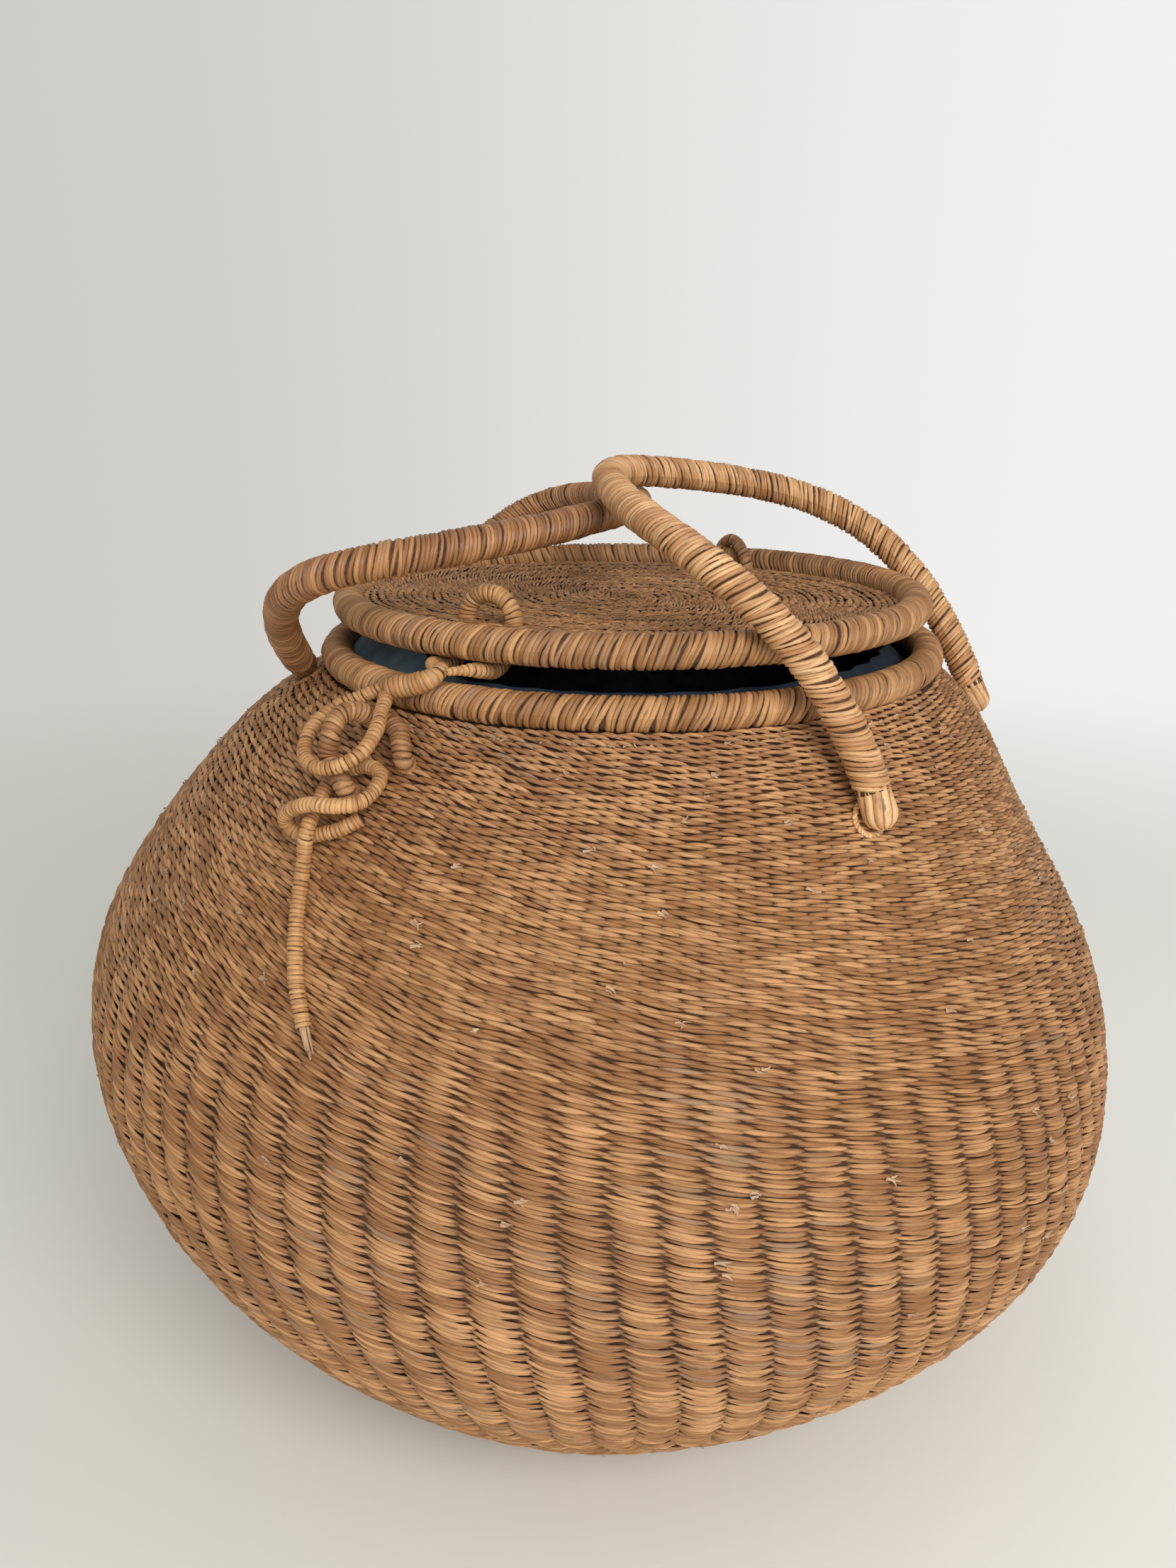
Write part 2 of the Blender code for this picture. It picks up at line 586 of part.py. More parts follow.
# Handles --------------------------------------------------------------------------------------
class Handle:
    """A handle's axis through the balls at its feet, and the line of its cane."""

    def __init__(self, feet, below, past, rise, arm):
        self.climb = CLIMB - below
        self.azimuths = [math.radians(foot) for foot in feet]
        first, last = [wall_point(azimuth, self.climb, FOOT_RADIUS + GAP - rib(azimuth, self.climb))
                       for azimuth in self.azimuths]
        self.middle = (first + last) / 2
        self.axis = unit(last - first)
        out = unit(np.cross(self.axis, [0, 0, 1]))
        half = np.linalg.norm(last - first) / 2
        reach = self.middle @ out + past
        height = LID[1] + rise - self.middle[2]
        shares = ((0.0, 0.0, 1.0), *arm, (1.0, 1.0, 0.0))
        arms = []
        for side in (-1, 1):
            points = [self.middle - out * reach * inwards + np.array([0, 0, 1]) * height * up
                      + self.axis * side * half * wide for inwards, up, wide in shares]
            arms.append(bezier(points, 40, 1 - TIP_BEND))
        self.line, self.length = spline(np.concatenate([arms[0], arms[1][::-1]]))
        wrapped = self.length - 2 * WRAP_START
        self.foot = [0.0, FOOT_RADIUS * 0.35, FOOT_RADIUS * 0.7]
        self.turns = [WRAP_START + wrapped * i / (2 * HANDLE_TURNS) for i in range(2 * HANDLE_TURNS + 1)]
        self.spots = self.foot + self.turns + [self.length - spot for spot in self.foot[::-1]]
        self.path = [self.line(spot) for spot in self.spots]
        self.pairs = frames(self.path)

    def core(self):
        """Cane with a ball at each end; it has a ring at every groove of its wrap."""
        foot = [FOOT_RADIUS, FOOT_RADIUS * 0.935, FOOT_RADIUS * 0.72]
        start = len(foot)
        kept = list(range(start, len(self.path) - start, 2))
        rings = [circle(self.path[i], self.pairs[i], HANDLE_CORE, 8) for i in kept]
        first = [circle(self.path[i], self.pairs[i], foot[i], 8) for i in range(start)]
        last = [circle(self.path[-1 - i], self.pairs[-1 - i], foot[i], 8) for i in range(start)][::-1]
        caps = []
        for end, inner in ((0, 1), (-1, -2)):
            away = unit(self.path[end] - self.path[inner]) * FOOT_RADIUS
            caps.append([circle(self.path[end] + away * 0.9, self.pairs[end], FOOT_RADIUS * 0.42, 8),
                         circle(self.path[end] + away * 0.55, self.pairs[end], FOOT_RADIUS * 0.83, 8)])
        return loft(caps[0] + first + rings + last + caps[1][::-1])

    def wrap(self):
        """The turns of the wrap, as one grooved sleeve."""
        start = len(self.foot)
        picked = range(start, len(self.path) - start)
        outer = [circle(self.path[i], self.pairs[i], HANDLE_RADIUS - (0 if (i - start) % 2 else GROOVE), 8)
                 for i in picked]
        inner = [circle(self.path[i], self.pairs[i], HANDLE_CORE + ROUND_GAP, 8) for i in picked[::2]]
        return loft(outer + inner[::-1], closed=True)


# Tie ------------------------------------------------------------------------------------------
def tie(pivot, look):
    """The wrapped tie, as a bevelled curve along the wall and its hitch."""
    path = smooth([clasp_point(*point) for point in TIE], 46)
    curve = bpy.data.curves.new("tie_cord", "CURVE")
    curve.dimensions = "3D"
    curve.bevel_depth = TIE_RADIUS
    curve.bevel_resolution = 2
    curve.use_fill_caps = True
    line = curve.splines.new("POLY")
    line.points.add(len(path) - 1)
    for point, place in zip(line.points, path):
        point.co = (*place, 1.0)
    made = bpy.data.objects.new("tie_cord", curve)
    made.parent = pivot
    curve.materials.append(look)
    bpy.context.scene.collection.objects.link(made)
    return path


def main():
    for old in list(bpy.data.objects):
        bpy.data.objects.remove(old, do_unlink=True)
    weave = material("twined fibre", (0.36, 0.22, 0.12), 0.75)
    wrap = material("wrapped fibre", (0.48, 0.29, 0.14), 0.6)
    handle_wrap = material("handle wrap", (0.42, 0.22, 0.11), 0.55)
    cane = material("cane", (0.45, 0.30, 0.16), 0.6)
    pale = material("tie fibre", (0.60, 0.42, 0.22), 0.6)
    cloth = material("liner cloth", (0.05, 0.09, 0.15), 0.9)

    root = bpy.data.objects.new("hamper", None)
    bpy.context.scene.collection.objects.link(root)
    outside = np.concatenate(wall_outside())
    middle = (outside.min(axis=0) + outside.max(axis=0)) / 2
    root.location = (-middle[0], -middle[1], 0.0)

    body = add("basket_wall", basket_wall(), root, weave)
    ring = hinge_ring_path()
    staple = staple_path()
    hole = [ring[(15 + i) % 30] for i in range(-6, 7)]
    cut(body, [hole_round(hole, HINGE_CANE), hole_round(staple[:4], STAPLE_CANE),
               hole_round(staple[-4:], STAPLE_CANE)], root)
    rim_slope = math.atan2(-NECK_SLOPE[1], -NECK_SLOPE[0])
    rim_offset = (HOOP_CORE + ROUND_GAP) * math.sin(RIM_SEAT) + WALL / 2
    add("rim_core", hoop_core(RIM), root, cane)
    add("rim_wrap", hoop_wrap(RIM, lambda a: wrap_edges(rim_slope, rim_offset, WALL)), root, wrap)
    add("hinge_ring", loft([circle(p, pair, HINGE_CANE, 8) for p, pair in zip(ring, frames(ring, True))],
                           closed=True), root, wrap)
    add("staple", rod(staple, STAPLE_CANE, ends=False), root, wrap)
    add("liner", liner(), root, cloth)
    path = tie(root, pale)
    away = unit(path[-1] - path[-2])
    reed = [path[-1] + away * (GAP + REED_LENGTH * i / 3) for i in range(4)]
    add("tie_reed", rod(reed, REED_RADIUS, 8, False), root, cane)

    hinge_place = polar(HINGE_AZIMUTH, *LID)
    hinge = joint("lid_hinge", hinge_place, polar(HINGE_AZIMUTH + math.pi / 2, 1.0), root)
    lid = add("lid_weave", lid_weave(), hinge, weave)
    arch = arch_path()
    facing = HINGE_AZIMUTH - 0.25 * HINGE_SKEW / LID_RADIUS
    slot = polar(facing, LID_EDGE - HINGE_SLOT[1] / 2 + 0.005, lid_height(facing, LID_EDGE))
    cut(lid, [rod(part, ARCH_CANE + ROUND_GAP, 10, False) for part in near_weave(arch)]
        + [block(slot, facing, (HINGE_SLOT[1] + 0.010, HINGE_SLOT[0], 0.02))], hinge)
    add("lid_core", hoop_core(LID), hinge, cane)

    def lid_edges(azimuth):
        return wrap_edges(math.pi, lid_height(azimuth, LID_EDGE) - LID[1], LID_WEAVE)

    add("lid_wrap", hoop_wrap(LID, lid_edges), hinge, wrap)
    radii = [ARCH_LEG + (ARCH_CANE - ARCH_LEG) * min(1.0, max(0.0, (15 - abs(i - 15) - 5) / 4))
             for i in range(31)]
    add("hasp_arch", rod(arch, radii), hinge, wrap)
    pivot = polar(HASP_AZIMUTH, *(LID + HASP_PIVOT))
    swing = joint("hasp_swing", pivot, polar(HASP_AZIMUTH - math.pi / 2, 1.0), hinge)
    add("hasp_binding", hasp_binding(), swing, wrap)
    add("hasp_cane", hasp_cane(), swing, wrap)

    for name, sizes in (("right", RIGHT_HANDLE), ("left", LEFT_HANDLE)):
        handle = Handle(**sizes)
        pivot = joint(f"{name}_handle_swing", handle.middle, handle.axis, root)
        add(f"{name}_handle_core", handle.core(), pivot, cane)
        add(f"{name}_handle_wrap", handle.wrap(), pivot, handle_wrap)
        for side, azimuth in zip("ab", handle.azimuths):
            add(f"{name}_collar_{side}", collar(azimuth, handle.climb), root, wrap)


main()
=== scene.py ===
import functools
import math
import bmesh
import bpy
import numpy as np
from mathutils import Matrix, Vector


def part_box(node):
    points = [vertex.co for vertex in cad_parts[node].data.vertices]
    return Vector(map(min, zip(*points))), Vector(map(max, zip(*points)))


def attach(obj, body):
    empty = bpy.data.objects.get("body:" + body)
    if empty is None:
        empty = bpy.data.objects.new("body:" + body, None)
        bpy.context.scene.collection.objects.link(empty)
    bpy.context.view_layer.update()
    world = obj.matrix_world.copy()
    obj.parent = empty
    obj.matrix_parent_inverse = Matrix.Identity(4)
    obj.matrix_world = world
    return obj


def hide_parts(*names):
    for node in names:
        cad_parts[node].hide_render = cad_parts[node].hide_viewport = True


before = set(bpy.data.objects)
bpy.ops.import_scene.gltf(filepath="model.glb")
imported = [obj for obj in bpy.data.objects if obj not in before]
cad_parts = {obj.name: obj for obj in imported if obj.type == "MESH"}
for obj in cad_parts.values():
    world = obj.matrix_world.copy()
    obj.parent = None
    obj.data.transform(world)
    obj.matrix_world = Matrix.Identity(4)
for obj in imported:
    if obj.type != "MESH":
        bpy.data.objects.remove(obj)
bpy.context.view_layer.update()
turn = 2 * math.pi
low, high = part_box("rim_core")
mouthCentre = np.array([(low[0] + high[0]) / 2, (low[1] + high[1]) / 2, 0.0])   # the hoops' axis
chance = np.random.default_rng(11)


def unit(vector):
    return vector / np.linalg.norm(vector, axis=-1, keepdims=True)


def polar(azimuth, radius, height=0.0):
    azimuth, radius, height = np.broadcast_arrays(azimuth, radius, height)
    return np.stack([radius * np.cos(azimuth), radius * np.sin(azimuth), height], axis=-1)


def valueAt(radius, here):
    return radius(here) if callable(radius) else radius


def offPath(crossing, reach, angle):
    # points at a distance and an angle round a path
    centre, first, second = crossing
    return centre + reach[..., None] * (first * np.cos(angle)[..., None] + second * np.sin(angle)[..., None])


def easeIn(value):
    value = np.clip(value, 0, 1)
    return value * value * (3 - 2 * value)


def spline(points):
    # a natural cubic through the points, by the distance from point to point
    points = np.asarray(points, float)
    steps = np.linalg.norm(np.diff(points, axis=0), axis=1)
    knots = np.concatenate([[0.0], np.cumsum(steps)])
    matrix = np.eye(len(points))
    sides = np.zeros_like(points)
    for i in range(1, len(points) - 1):
        matrix[i, i - 1:i + 2] = steps[i - 1], 2 * (steps[i - 1] + steps[i]), steps[i]
        sides[i] = 6 * ((points[i + 1] - points[i]) / steps[i] - (points[i] - points[i - 1]) / steps[i - 1])
    bend = np.linalg.solve(matrix, sides)

    def at(where):
        where = np.asarray(where, float)
        i = np.clip(np.searchsorted(knots, where) - 1, 0, len(steps) - 1)
        step = steps[i][..., None]
        before = (where - knots[i])[..., None]
        after = step - before
        cubic = (bend[i] * after ** 3 + bend[i + 1] * before ** 3) / (6 * step)
        return (cubic + (points[i] / step - bend[i] * step / 6) * after
                + (points[i + 1] / step - bend[i + 1] * step / 6) * before)

    return at, knots[-1]


def course(points, closed=False):
    # centre line and two crosswise directions at any distance along a path
    points = np.asarray(points, float)
    if closed:
        lapped = np.concatenate([points[-3:], points, points[:4]])
        gaps = np.linalg.norm(np.diff(lapped, axis=0), axis=1)
        at, _ = spline(lapped)
        line = at(gaps[:3].sum() + gaps[3:3 + len(points)].sum() * np.linspace(0, 1, 401))
    else:
        at, span = spline(points)
        line = at(span * np.linspace(0, 1, 401))
    reach = np.concatenate([[0.0], np.cumsum(np.linalg.norm(np.diff(line, axis=0), axis=1))])
    along = unit(np.gradient(line, axis=0))
    side = np.cross(along[0], [0.0, 0.0, 1.0] if abs(along[0][2]) < 0.9 else [1.0, 0.0, 0.0])
    pairs = []
    for direction in along:
        side = unit(side - direction * (side @ direction))
        pairs.append(np.concatenate([side, np.cross(direction, side)]))
    table = np.concatenate([line, np.array(pairs)], axis=1)
    length = reach[-1]

    def where(distance):
        distance = np.asarray(distance, float)
        kept = np.mod(distance, length) if closed else np.clip(distance, 0, length)
        found = np.stack([np.interp(kept, reach, column) for column in table.T], axis=-1)
        beyond = np.zeros_like(kept) if closed else distance - kept          # straight on past an open path's ends
        ahead = np.where((beyond > 0)[..., None], along[-1], along[0])
        return found[..., :3] + beyond[..., None] * ahead, found[..., 3:6], found[..., 6:]

    return where, length


wall = dict(
    baseRadius=0.130, bellyRadius=0.2604, bellyHeight=0.170, neckRadius=0.148, neckHeight=0.3653,
    slumpTowards=math.radians(30),                      # below: share of the height, share of the width, slump
    lower=((0.0, 0.0, -0.012), (0.082, 0.215, -0.012), (0.294, 0.514, -0.010), (0.618, 0.851, -0.006)),
    upper=((0.0, 0.0, -0.013), (0.337, 0.095, -0.019), (0.674, 0.449, -0.016), (0.905, 0.768, -0.006),
           (1.0, 1.0, 0.0)),
)


def wallRings():
    belly = wall["bellyRadius"]
    rings = [(wall["baseRadius"] + spread * (belly - wall["baseRadius"]), rise * wall["bellyHeight"], slump)
             for rise, spread, slump in wall["lower"]]
    height = wall["neckHeight"] - wall["bellyHeight"]
    return rings + [(belly + spread * (wall["neckRadius"] - belly), wall["bellyHeight"] + rise * height, slump)
                    for rise, spread, slump in wall["upper"]]


wallLine, wallClimb = spline(wallRings())
baseCentre = polar(wall["slumpTowards"], wall["lower"][0][2])
clasp = dict(azimuth=math.radians(-93.5), below=0.0383)


def wallPoint(azimuth, climb, out=0.0):
    azimuth, climb, out = np.broadcast_arrays(azimuth, climb, out)
    radius, height, slump = np.moveaxis(wallLine(climb), -1, 0)
    slope = wallLine(climb + 0.0005) - wallLine(climb - 0.0005)
    lean = polar(wall["slumpTowards"], 1.0)
    point = polar(azimuth, radius, height) + slump[..., None] * lean
    up = polar(azimuth, slope[..., 0], slope[..., 1]) + slope[..., 2:] * lean
    normal = unit(np.cross(polar(azimuth + turn / 4, radius), up))
    return point + out[..., None] * normal


def claspPoint(across, up, out):
    climb = wallClimb - clasp["below"]
    return wallPoint(clasp["azimuth"] + across / wallLine(climb)[0], climb + up, out)


def linear(red, green, blue):
    return tuple(((v / 255 + 0.055) / 1.055) ** 2.4 if v > 10 else v / 255 / 12.92 for v in (red, green, blue)) + (1.0,)


def node(tree, kind, values=None, **settings):
    # a shader node with its settings, and its inputs set or linked
    made = tree.nodes.new("ShaderNode" + kind)
    for name, value in settings.items():
        setattr(made, name, value)
    for name, value in (values or {}).items():
        if isinstance(value, bpy.types.NodeSocket):
            tree.links.new(value, made.inputs[name])
        else:
            made.inputs[name].default_value = value
    return made


def maths(tree, operation, first, second=0.0, clamp=False):
    return node(tree, "Math", {0: first, 1: second}, operation=operation, use_clamp=clamp).outputs[0]


def blendColour(tree, factor, first, second):
    return node(tree, "Mix", {0: factor, 6: first, 7: second}, data_type="RGBA").outputs[2]


def noise(tree, vector, scale, detail=3.0):
    return node(tree, "TexNoise", {"Vector": vector, "Scale": scale, "Detail": detail}).outputs[0]


def newMaterial(name):
    made = bpy.data.materials.new(name)
    made.use_nodes = True
    return made, made.node_tree, made.node_tree.nodes["Principled BSDF"]


def addRelief(tree, shader, height, distance, strength=1.0):
    bump = node(tree, "Bump", {"Height": height, "Strength": strength, "Distance": distance})
    tree.links.new(bump.outputs[0], shader.inputs["Normal"])


def ramp(tree, value, low, high):
    return node(tree, "MapRange", {"Value": value, "From Min": low, "From Max": high},
                interpolation_type="SMOOTHSTEP").outputs[0]


strandColours = ("Base", "Pale", "Grey", "Deep")
strandNumbers = ("Along", "Across", "Patches", "Ends", "Edges", "Gloss", "Variety")


def strandGroup():
    # colour, roughness and relief of a strand: its UV map runs along it, "tone" differs from strand to strand
    tree = bpy.data.node_groups.new("strand", "ShaderNodeTree")
    for way, colours, numbers in (("INPUT", strandColours, strandNumbers),
                                  ("OUTPUT", ("Color",), ("Roughness", "Height"))):
        for name in colours + numbers:
            kind = "NodeSocketColor" if name in colours else "NodeSocketFloat"
            tree.interface.new_socket(name, in_out=way, socket_type=kind)
    times, plus, minus = (functools.partial(maths, tree, kind) for kind in ("MULTIPLY", "ADD", "SUBTRACT"))
    given = tree.nodes.new("NodeGroupInput").outputs
    shown = tree.nodes.new("NodeGroupOutput").inputs
    tone = node(tree, "Attribute", attribute_name="tone").outputs["Fac"]
    place = node(tree, "SeparateXYZ", {0: node(tree, "UVMap", uv_map="UVMap").outputs[0]}).outputs
    spot = node(tree, "TexCoord").outputs["Object"]
    swing = times(place[0], turn)                       # round a circle, so that a turn meets itself
    grain = node(tree, "CombineXYZ", {
        0: times(maths(tree, "COSINE", swing), given["Along"]),
        1: times(maths(tree, "SINE", swing), given["Along"]),
        2: times(place[1], given["Across"])}).outputs[0]
    fibres = node(tree, "TexNoise", {"Vector": grain, "W": times(tone, 61.0), "Scale": 1.0, "Detail": 3.0,
                                     "Roughness": 0.6}, noise_dimensions="4D").outputs[0]
    patches = noise(tree, spot, given["Patches"], 2.0)
    weather = noise(tree, spot, 9.0)
    other = maths(tree, "FRACT", times(tone, 7.31))
    lively = times(minus(tone, 0.5), given["Variety"])
    mixed = plus(plus(lively, fibres), times(minus(patches, 0.5), 0.7))
    colour = blendColour(tree, ramp(tree, mixed, 0.25, 0.95), given["Base"], given["Pale"])
    greyness = plus(other, times(minus(weather, 0.5), 1.1))
    colour = blendColour(tree, times(ramp(tree, greyness, 0.85, 1.15), 0.7), colour, given["Grey"])
    # painted shade in the thin slits between fibres
    colour = blendColour(tree, times(ramp(tree, fibres, 0.46, 0.30), 0.55), colour, given["Deep"])     # thin slits
    # painted shade with some dirt: each strand darkens towards its edges and its ends, where it meets its neighbours
    # and dives into the weave
    rim = maths(tree, "ABSOLUTE", minus(times(place[1], 2.0), 1.0))
    end = maths(tree, "ABSOLUTE", minus(times(place[0], 2.0), 1.0))
    dirtAndShade = plus(times(ramp(tree, rim, 0.55, 1.05), given["Edges"]), times(ramp(tree, end, 0.55, 1.0), given["Ends"]),
                clamp=True)
    colour = blendColour(tree, dirtAndShade, colour, given["Deep"])
    tree.links.new(colour, shown["Color"])
    tree.links.new(plus(given["Gloss"], times(fibres, 0.25)), shown["Roughness"])
    tree.links.new(fibres, shown["Height"])
    return tree


strandNodes = strandGroup()


# ends and edges: how much painted shade, with some dirt, darkens a strand towards its ends and edges
def strandMaterial(name, base, pale, grey, deep, along, across, patches=40.0, ends=0.0, edges=0.5, gloss=0.45,
                   relief=0.0004, sheen=0.3, variety=0.35):
    made, tree, shader = newMaterial(name)
    look = node(tree, "Group", node_tree=strandNodes)
    for socket, shade in zip(strandColours, (base, pale, grey, deep)):
        look.inputs[socket].default_value = linear(*shade)
    for socket, value in zip(strandNumbers, (along, across, patches, ends, edges, gloss, variety)):
        look.inputs[socket].default_value = value
    tree.links.new(look.outputs["Color"], shader.inputs["Base Color"])
    tree.links.new(look.outputs["Roughness"], shader.inputs["Roughness"])
    addRelief(tree, shader, look.outputs["Height"], relief)
    shader.inputs["Specular IOR Level"].default_value = sheen
    return made


def plainMaterial(name, first, second, roughness, scale):
    made, tree, shader = newMaterial(name)
    grain = ramp(tree, noise(tree, node(tree, "TexCoord").outputs["Object"], scale), 0.35, 0.65)
    tree.links.new(blendColour(tree, grain, linear(*first), linear(*second)), shader.inputs["Base Color"])
    shader.inputs["Roughness"].default_value = roughness
    return made


shades = dict(deep=(50, 28, 13), grey=(150, 122, 98))
twined = strandMaterial("twined fibre", (150, 104, 64), (208, 158, 108), shades["grey"], (62, 36, 18),
                        along=0.35, across=4.0, ends=0.75, edges=0.45, gloss=0.45, relief=0.0005, variety=0.5)
lidFibre = strandMaterial("lid fibre", (150, 105, 64), (206, 155, 106), shades["grey"], (42, 22, 10),
                          along=0.35, across=4.0, ends=1.0, edges=0.75, gloss=0.5, relief=0.0005)
hoopFibre = strandMaterial("hoop wrap", (152, 106, 64), (206, 156, 104), (158, 124, 94), shades["deep"],
                           along=0.7, across=5.0, edges=0.8, gloss=0.38, relief=0.0005, sheen=0.4, variety=0.5)
# lit and shaded copies of one handle fibre: the right handle's is painted lighter as lit, the left handle's darker as
# painted shade
litHandleFibre = strandMaterial("handle wrap", (184, 132, 84), (238, 192, 138), (156, 116, 84), (56, 31, 14),
                             along=0.7, across=4.0, edges=0.8, gloss=0.32, relief=0.0004, sheen=0.5, variety=0.45)
shadedHandleFibre = strandMaterial("shaded handle wrap", (140, 94, 54), (192, 140, 92), (146, 108, 78), (52, 29, 14),
                                 along=0.7, across=4.0, edges=0.8, gloss=0.32, relief=0.0004, sheen=0.5, variety=0.45)
caneFibre = strandMaterial("cane wrap", (146, 100, 60), (196, 148, 98), (150, 114, 84), (50, 28, 13),
                           along=0.6, across=4.0, edges=0.8, gloss=0.36, relief=0.0004, sheen=0.4)
tieFibre = strandMaterial("tie wrap", (172, 122, 74), (216, 168, 112), (180, 140, 100), (72, 42, 20),
                          along=0.5, across=4.0, edges=0.6, gloss=0.36, relief=0.0004, sheen=0.4)
reedFibre = strandMaterial("reed end", (182, 142, 106), (214, 184, 152), (176, 158, 138), (110, 72, 44),
                           along=0.3, across=5.0, edges=0.7, gloss=0.5, relief=0.0002)
# packing and cores: fibre coloured dark as painted shade, for the gaps where they show
shadow = plainMaterial("packed fibre in painted shade", (92, 60, 35), (62, 38, 20), roughness=0.9, scale=260.0)


def newObject(name, data):
    made = bpy.data.objects.new(name, data)
    bpy.context.scene.collection.objects.link(made)
    return made


def copies(name, along, across, count):
    # many copies of one flat strip, all in the same place, and their points by copy
    bm = bmesh.new()
    bm.loops.layers.uv.new("UVMap")
    bmesh.ops.create_grid(bm, x_segments=along, y_segments=across, size=0.5, calc_uvs=True)
    mesh = bpy.data.meshes.new(name)
    bm.to_mesh(mesh)
    bm.free()
    piece = newObject(name, mesh)
    size = len(mesh.vertices)
    if count > 1:
        array = piece.modifiers.new("copies", "ARRAY")
        array.count = count
        array.use_relative_offset = False
        seen = piece.evaluated_get(bpy.context.evaluated_depsgraph_get())
        repeated = bpy.data.meshes.new_from_object(seen)
        piece.modifiers.clear()
        piece.data = repeated
        bpy.data.meshes.remove(mesh)
        repeated.name = name
    flat = np.zeros(len(piece.data.vertices) * 3)
    piece.data.vertices.foreach_get("co", flat)
    flat = flat.reshape(count, size, 3) + 0.5
    return piece, flat[..., 0], flat[..., 1]


def settle(piece, points, body, look):
    # gives a piece its points, its look and the body it moves with
    count = len(points)
    mesh = piece.data
    mesh.vertices.foreach_set("co", (points + mouthCentre).ravel())
    tones = np.repeat(chance.random(count), len(mesh.vertices) // count)
    mesh.attributes.new("tone", "FLOAT", "POINT").data.foreach_set("value", tones.astype(np.float32))
    mesh.update()
    mesh.shade_smooth()
    mesh.materials.clear()
    mesh.materials.append(look)
    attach(piece, body)
    return piece


def spread(count, amount):
    return np.clip(chance.normal(0, amount, (count, 1)), -2.5 * amount, 2.5 * amount)


def domed(radius, length, reach):
    # a radius that closes over both ends of a path
    def over(here):
        past = np.clip(np.maximum(-here, here - length) / reach, 0, 0.995)
        return valueAt(radius, np.clip(here, 0, length)) * np.sqrt(1 - past ** 2)
    return over


def windings(name, path, radius, body, look, sizes, start=0.0, end=None, around=18, across=4, untidy=1.0,
             drawn=0.0):
    # one turn of a strip after another round a path: radius is over the turns, and may be a function
    where, length = path
    pitch, height, slant, group = sizes["pitch"], sizes["height"], sizes["slant"], sizes.get("group", 0)
    end = length if end is None else end
    count = max(3, round((end - start) / pitch))
    piece, swing, side = copies(name, around, across, count)
    angle = swing * turn
    middle = start + (np.arange(count)[:, None] + 0.5) * (end - start) / count + spread(count, 0.05 * pitch * untidy)
    wide = pitch * (1.16 + spread(count, 0.08 * untidy))                # each turn laps its neighbour
    slit = np.minimum(np.abs(spread(count, 2 * sizes.get("slits", 0.10))), 0.5)
    slitPlace = chance.random((count, 1)) * turn
    wide = wide * (1 - slit * np.exp(18 * np.cos(angle - slitPlace) - 18))
    tilt = slant * (1 + spread(count, 0.14 * untidy))
    twist = spread(count, 0.12 * untidy)
    if group:                                           # turns crowd together in groups on top
        between = (np.mod(np.arange(count)[:, None], group) + 0.5 - group / 2) * pitch
        middle = middle - drawn * between * easeIn((np.cos(angle - turn * 0.2) - 0.1) / 0.9)
    here = middle + tilt * np.cos(angle - sizes.get("lean", 0.0) + twist) + wide * (side - 0.5)
    here = np.clip(here, start - pitch * 0.2, end + pitch * 0.2)
    crown = 1 - np.abs(2 * side - 1) ** 2.6
    swell = 1 + 0.012 * untidy * (np.sin(here * 190 + 1.0) + np.sin(here * 437 + angle))
    lift = spread(count, 0.10 * untidy) * height + spread(count, 0.35 * untidy) * height * (side - 0.5)
    reach = valueAt(radius, here) * swell - height * (1 - crown) * (1 + spread(count, 0.15)) + np.minimum(lift, 0.0003)
    return settle(piece, offPath(where(here), reach, angle), body, look)


def weld(piece, change=None):
    # joins the points that lie together, makes one more change, and gives the area
    bm = bmesh.new()
    bm.from_mesh(piece.data)
    bmesh.ops.remove_doubles(bm, verts=bm.verts, dist=1e-6)
    if change:
        change(bm)
    area = sum(face.calc_area() for face in bm.faces)
    bm.to_mesh(piece.data)
    bm.free()
    return area


def layUnder(piece, points, body, thickness, change=None):
    # the packing behind a weave, painted dark as the shade in the gaps between strands
    settle(piece, points, body, shadow)
    weld(piece, change)
    skin = piece.modifiers.new("thickness", "SOLIDIFY")
    skin.thickness = thickness
    skin.offset = -1.0


def tube(name, path, radius, body, start=0.0, end=None, sides=14, steps=120):
    # the core that shows between the turns of a wrap, painted dark as the shade between them
    where, length = path
    end = length if end is None else end
    piece, swing, run = copies(name, sides, steps, 1)
    here = start + run * (end - start)
    reach = valueAt(radius, here) * np.ones_like(here)
    settle(piece, offPath(where(here), reach, swing * turn), body, shadow)
    weld(piece, lambda bm: bmesh.ops.holes_fill(bm, edges=[edge for edge in bm.edges if edge.is_boundary], sides=sides))
    return piece


cameraPlace = dict(position=(0.3305, -0.5434, 0.499), azimuth=121.92, pitch=-17.9, lens=29.21, sensor=36.0)


def makeCamera():
    camera = bpy.data.cameras.new("camera")
    camera.lens = cameraPlace["lens"]
    camera.sensor_width = cameraPlace["sensor"]
    camera.clip_start = 0.02
    made = newObject("camera", camera)
    azimuth, pitch = math.radians(cameraPlace["azimuth"]), math.radians(cameraPlace["pitch"])
    ahead = Vector((math.cos(azimuth) * math.cos(pitch), math.sin(azimuth) * math.cos(pitch), math.sin(pitch)))
    made.location = cameraPlace["position"]
    made.rotation_euler = ahead.to_track_quat("-Z", "Y").to_euler()
    bpy.context.scene.camera = made


makeCamera()
print("camera made")

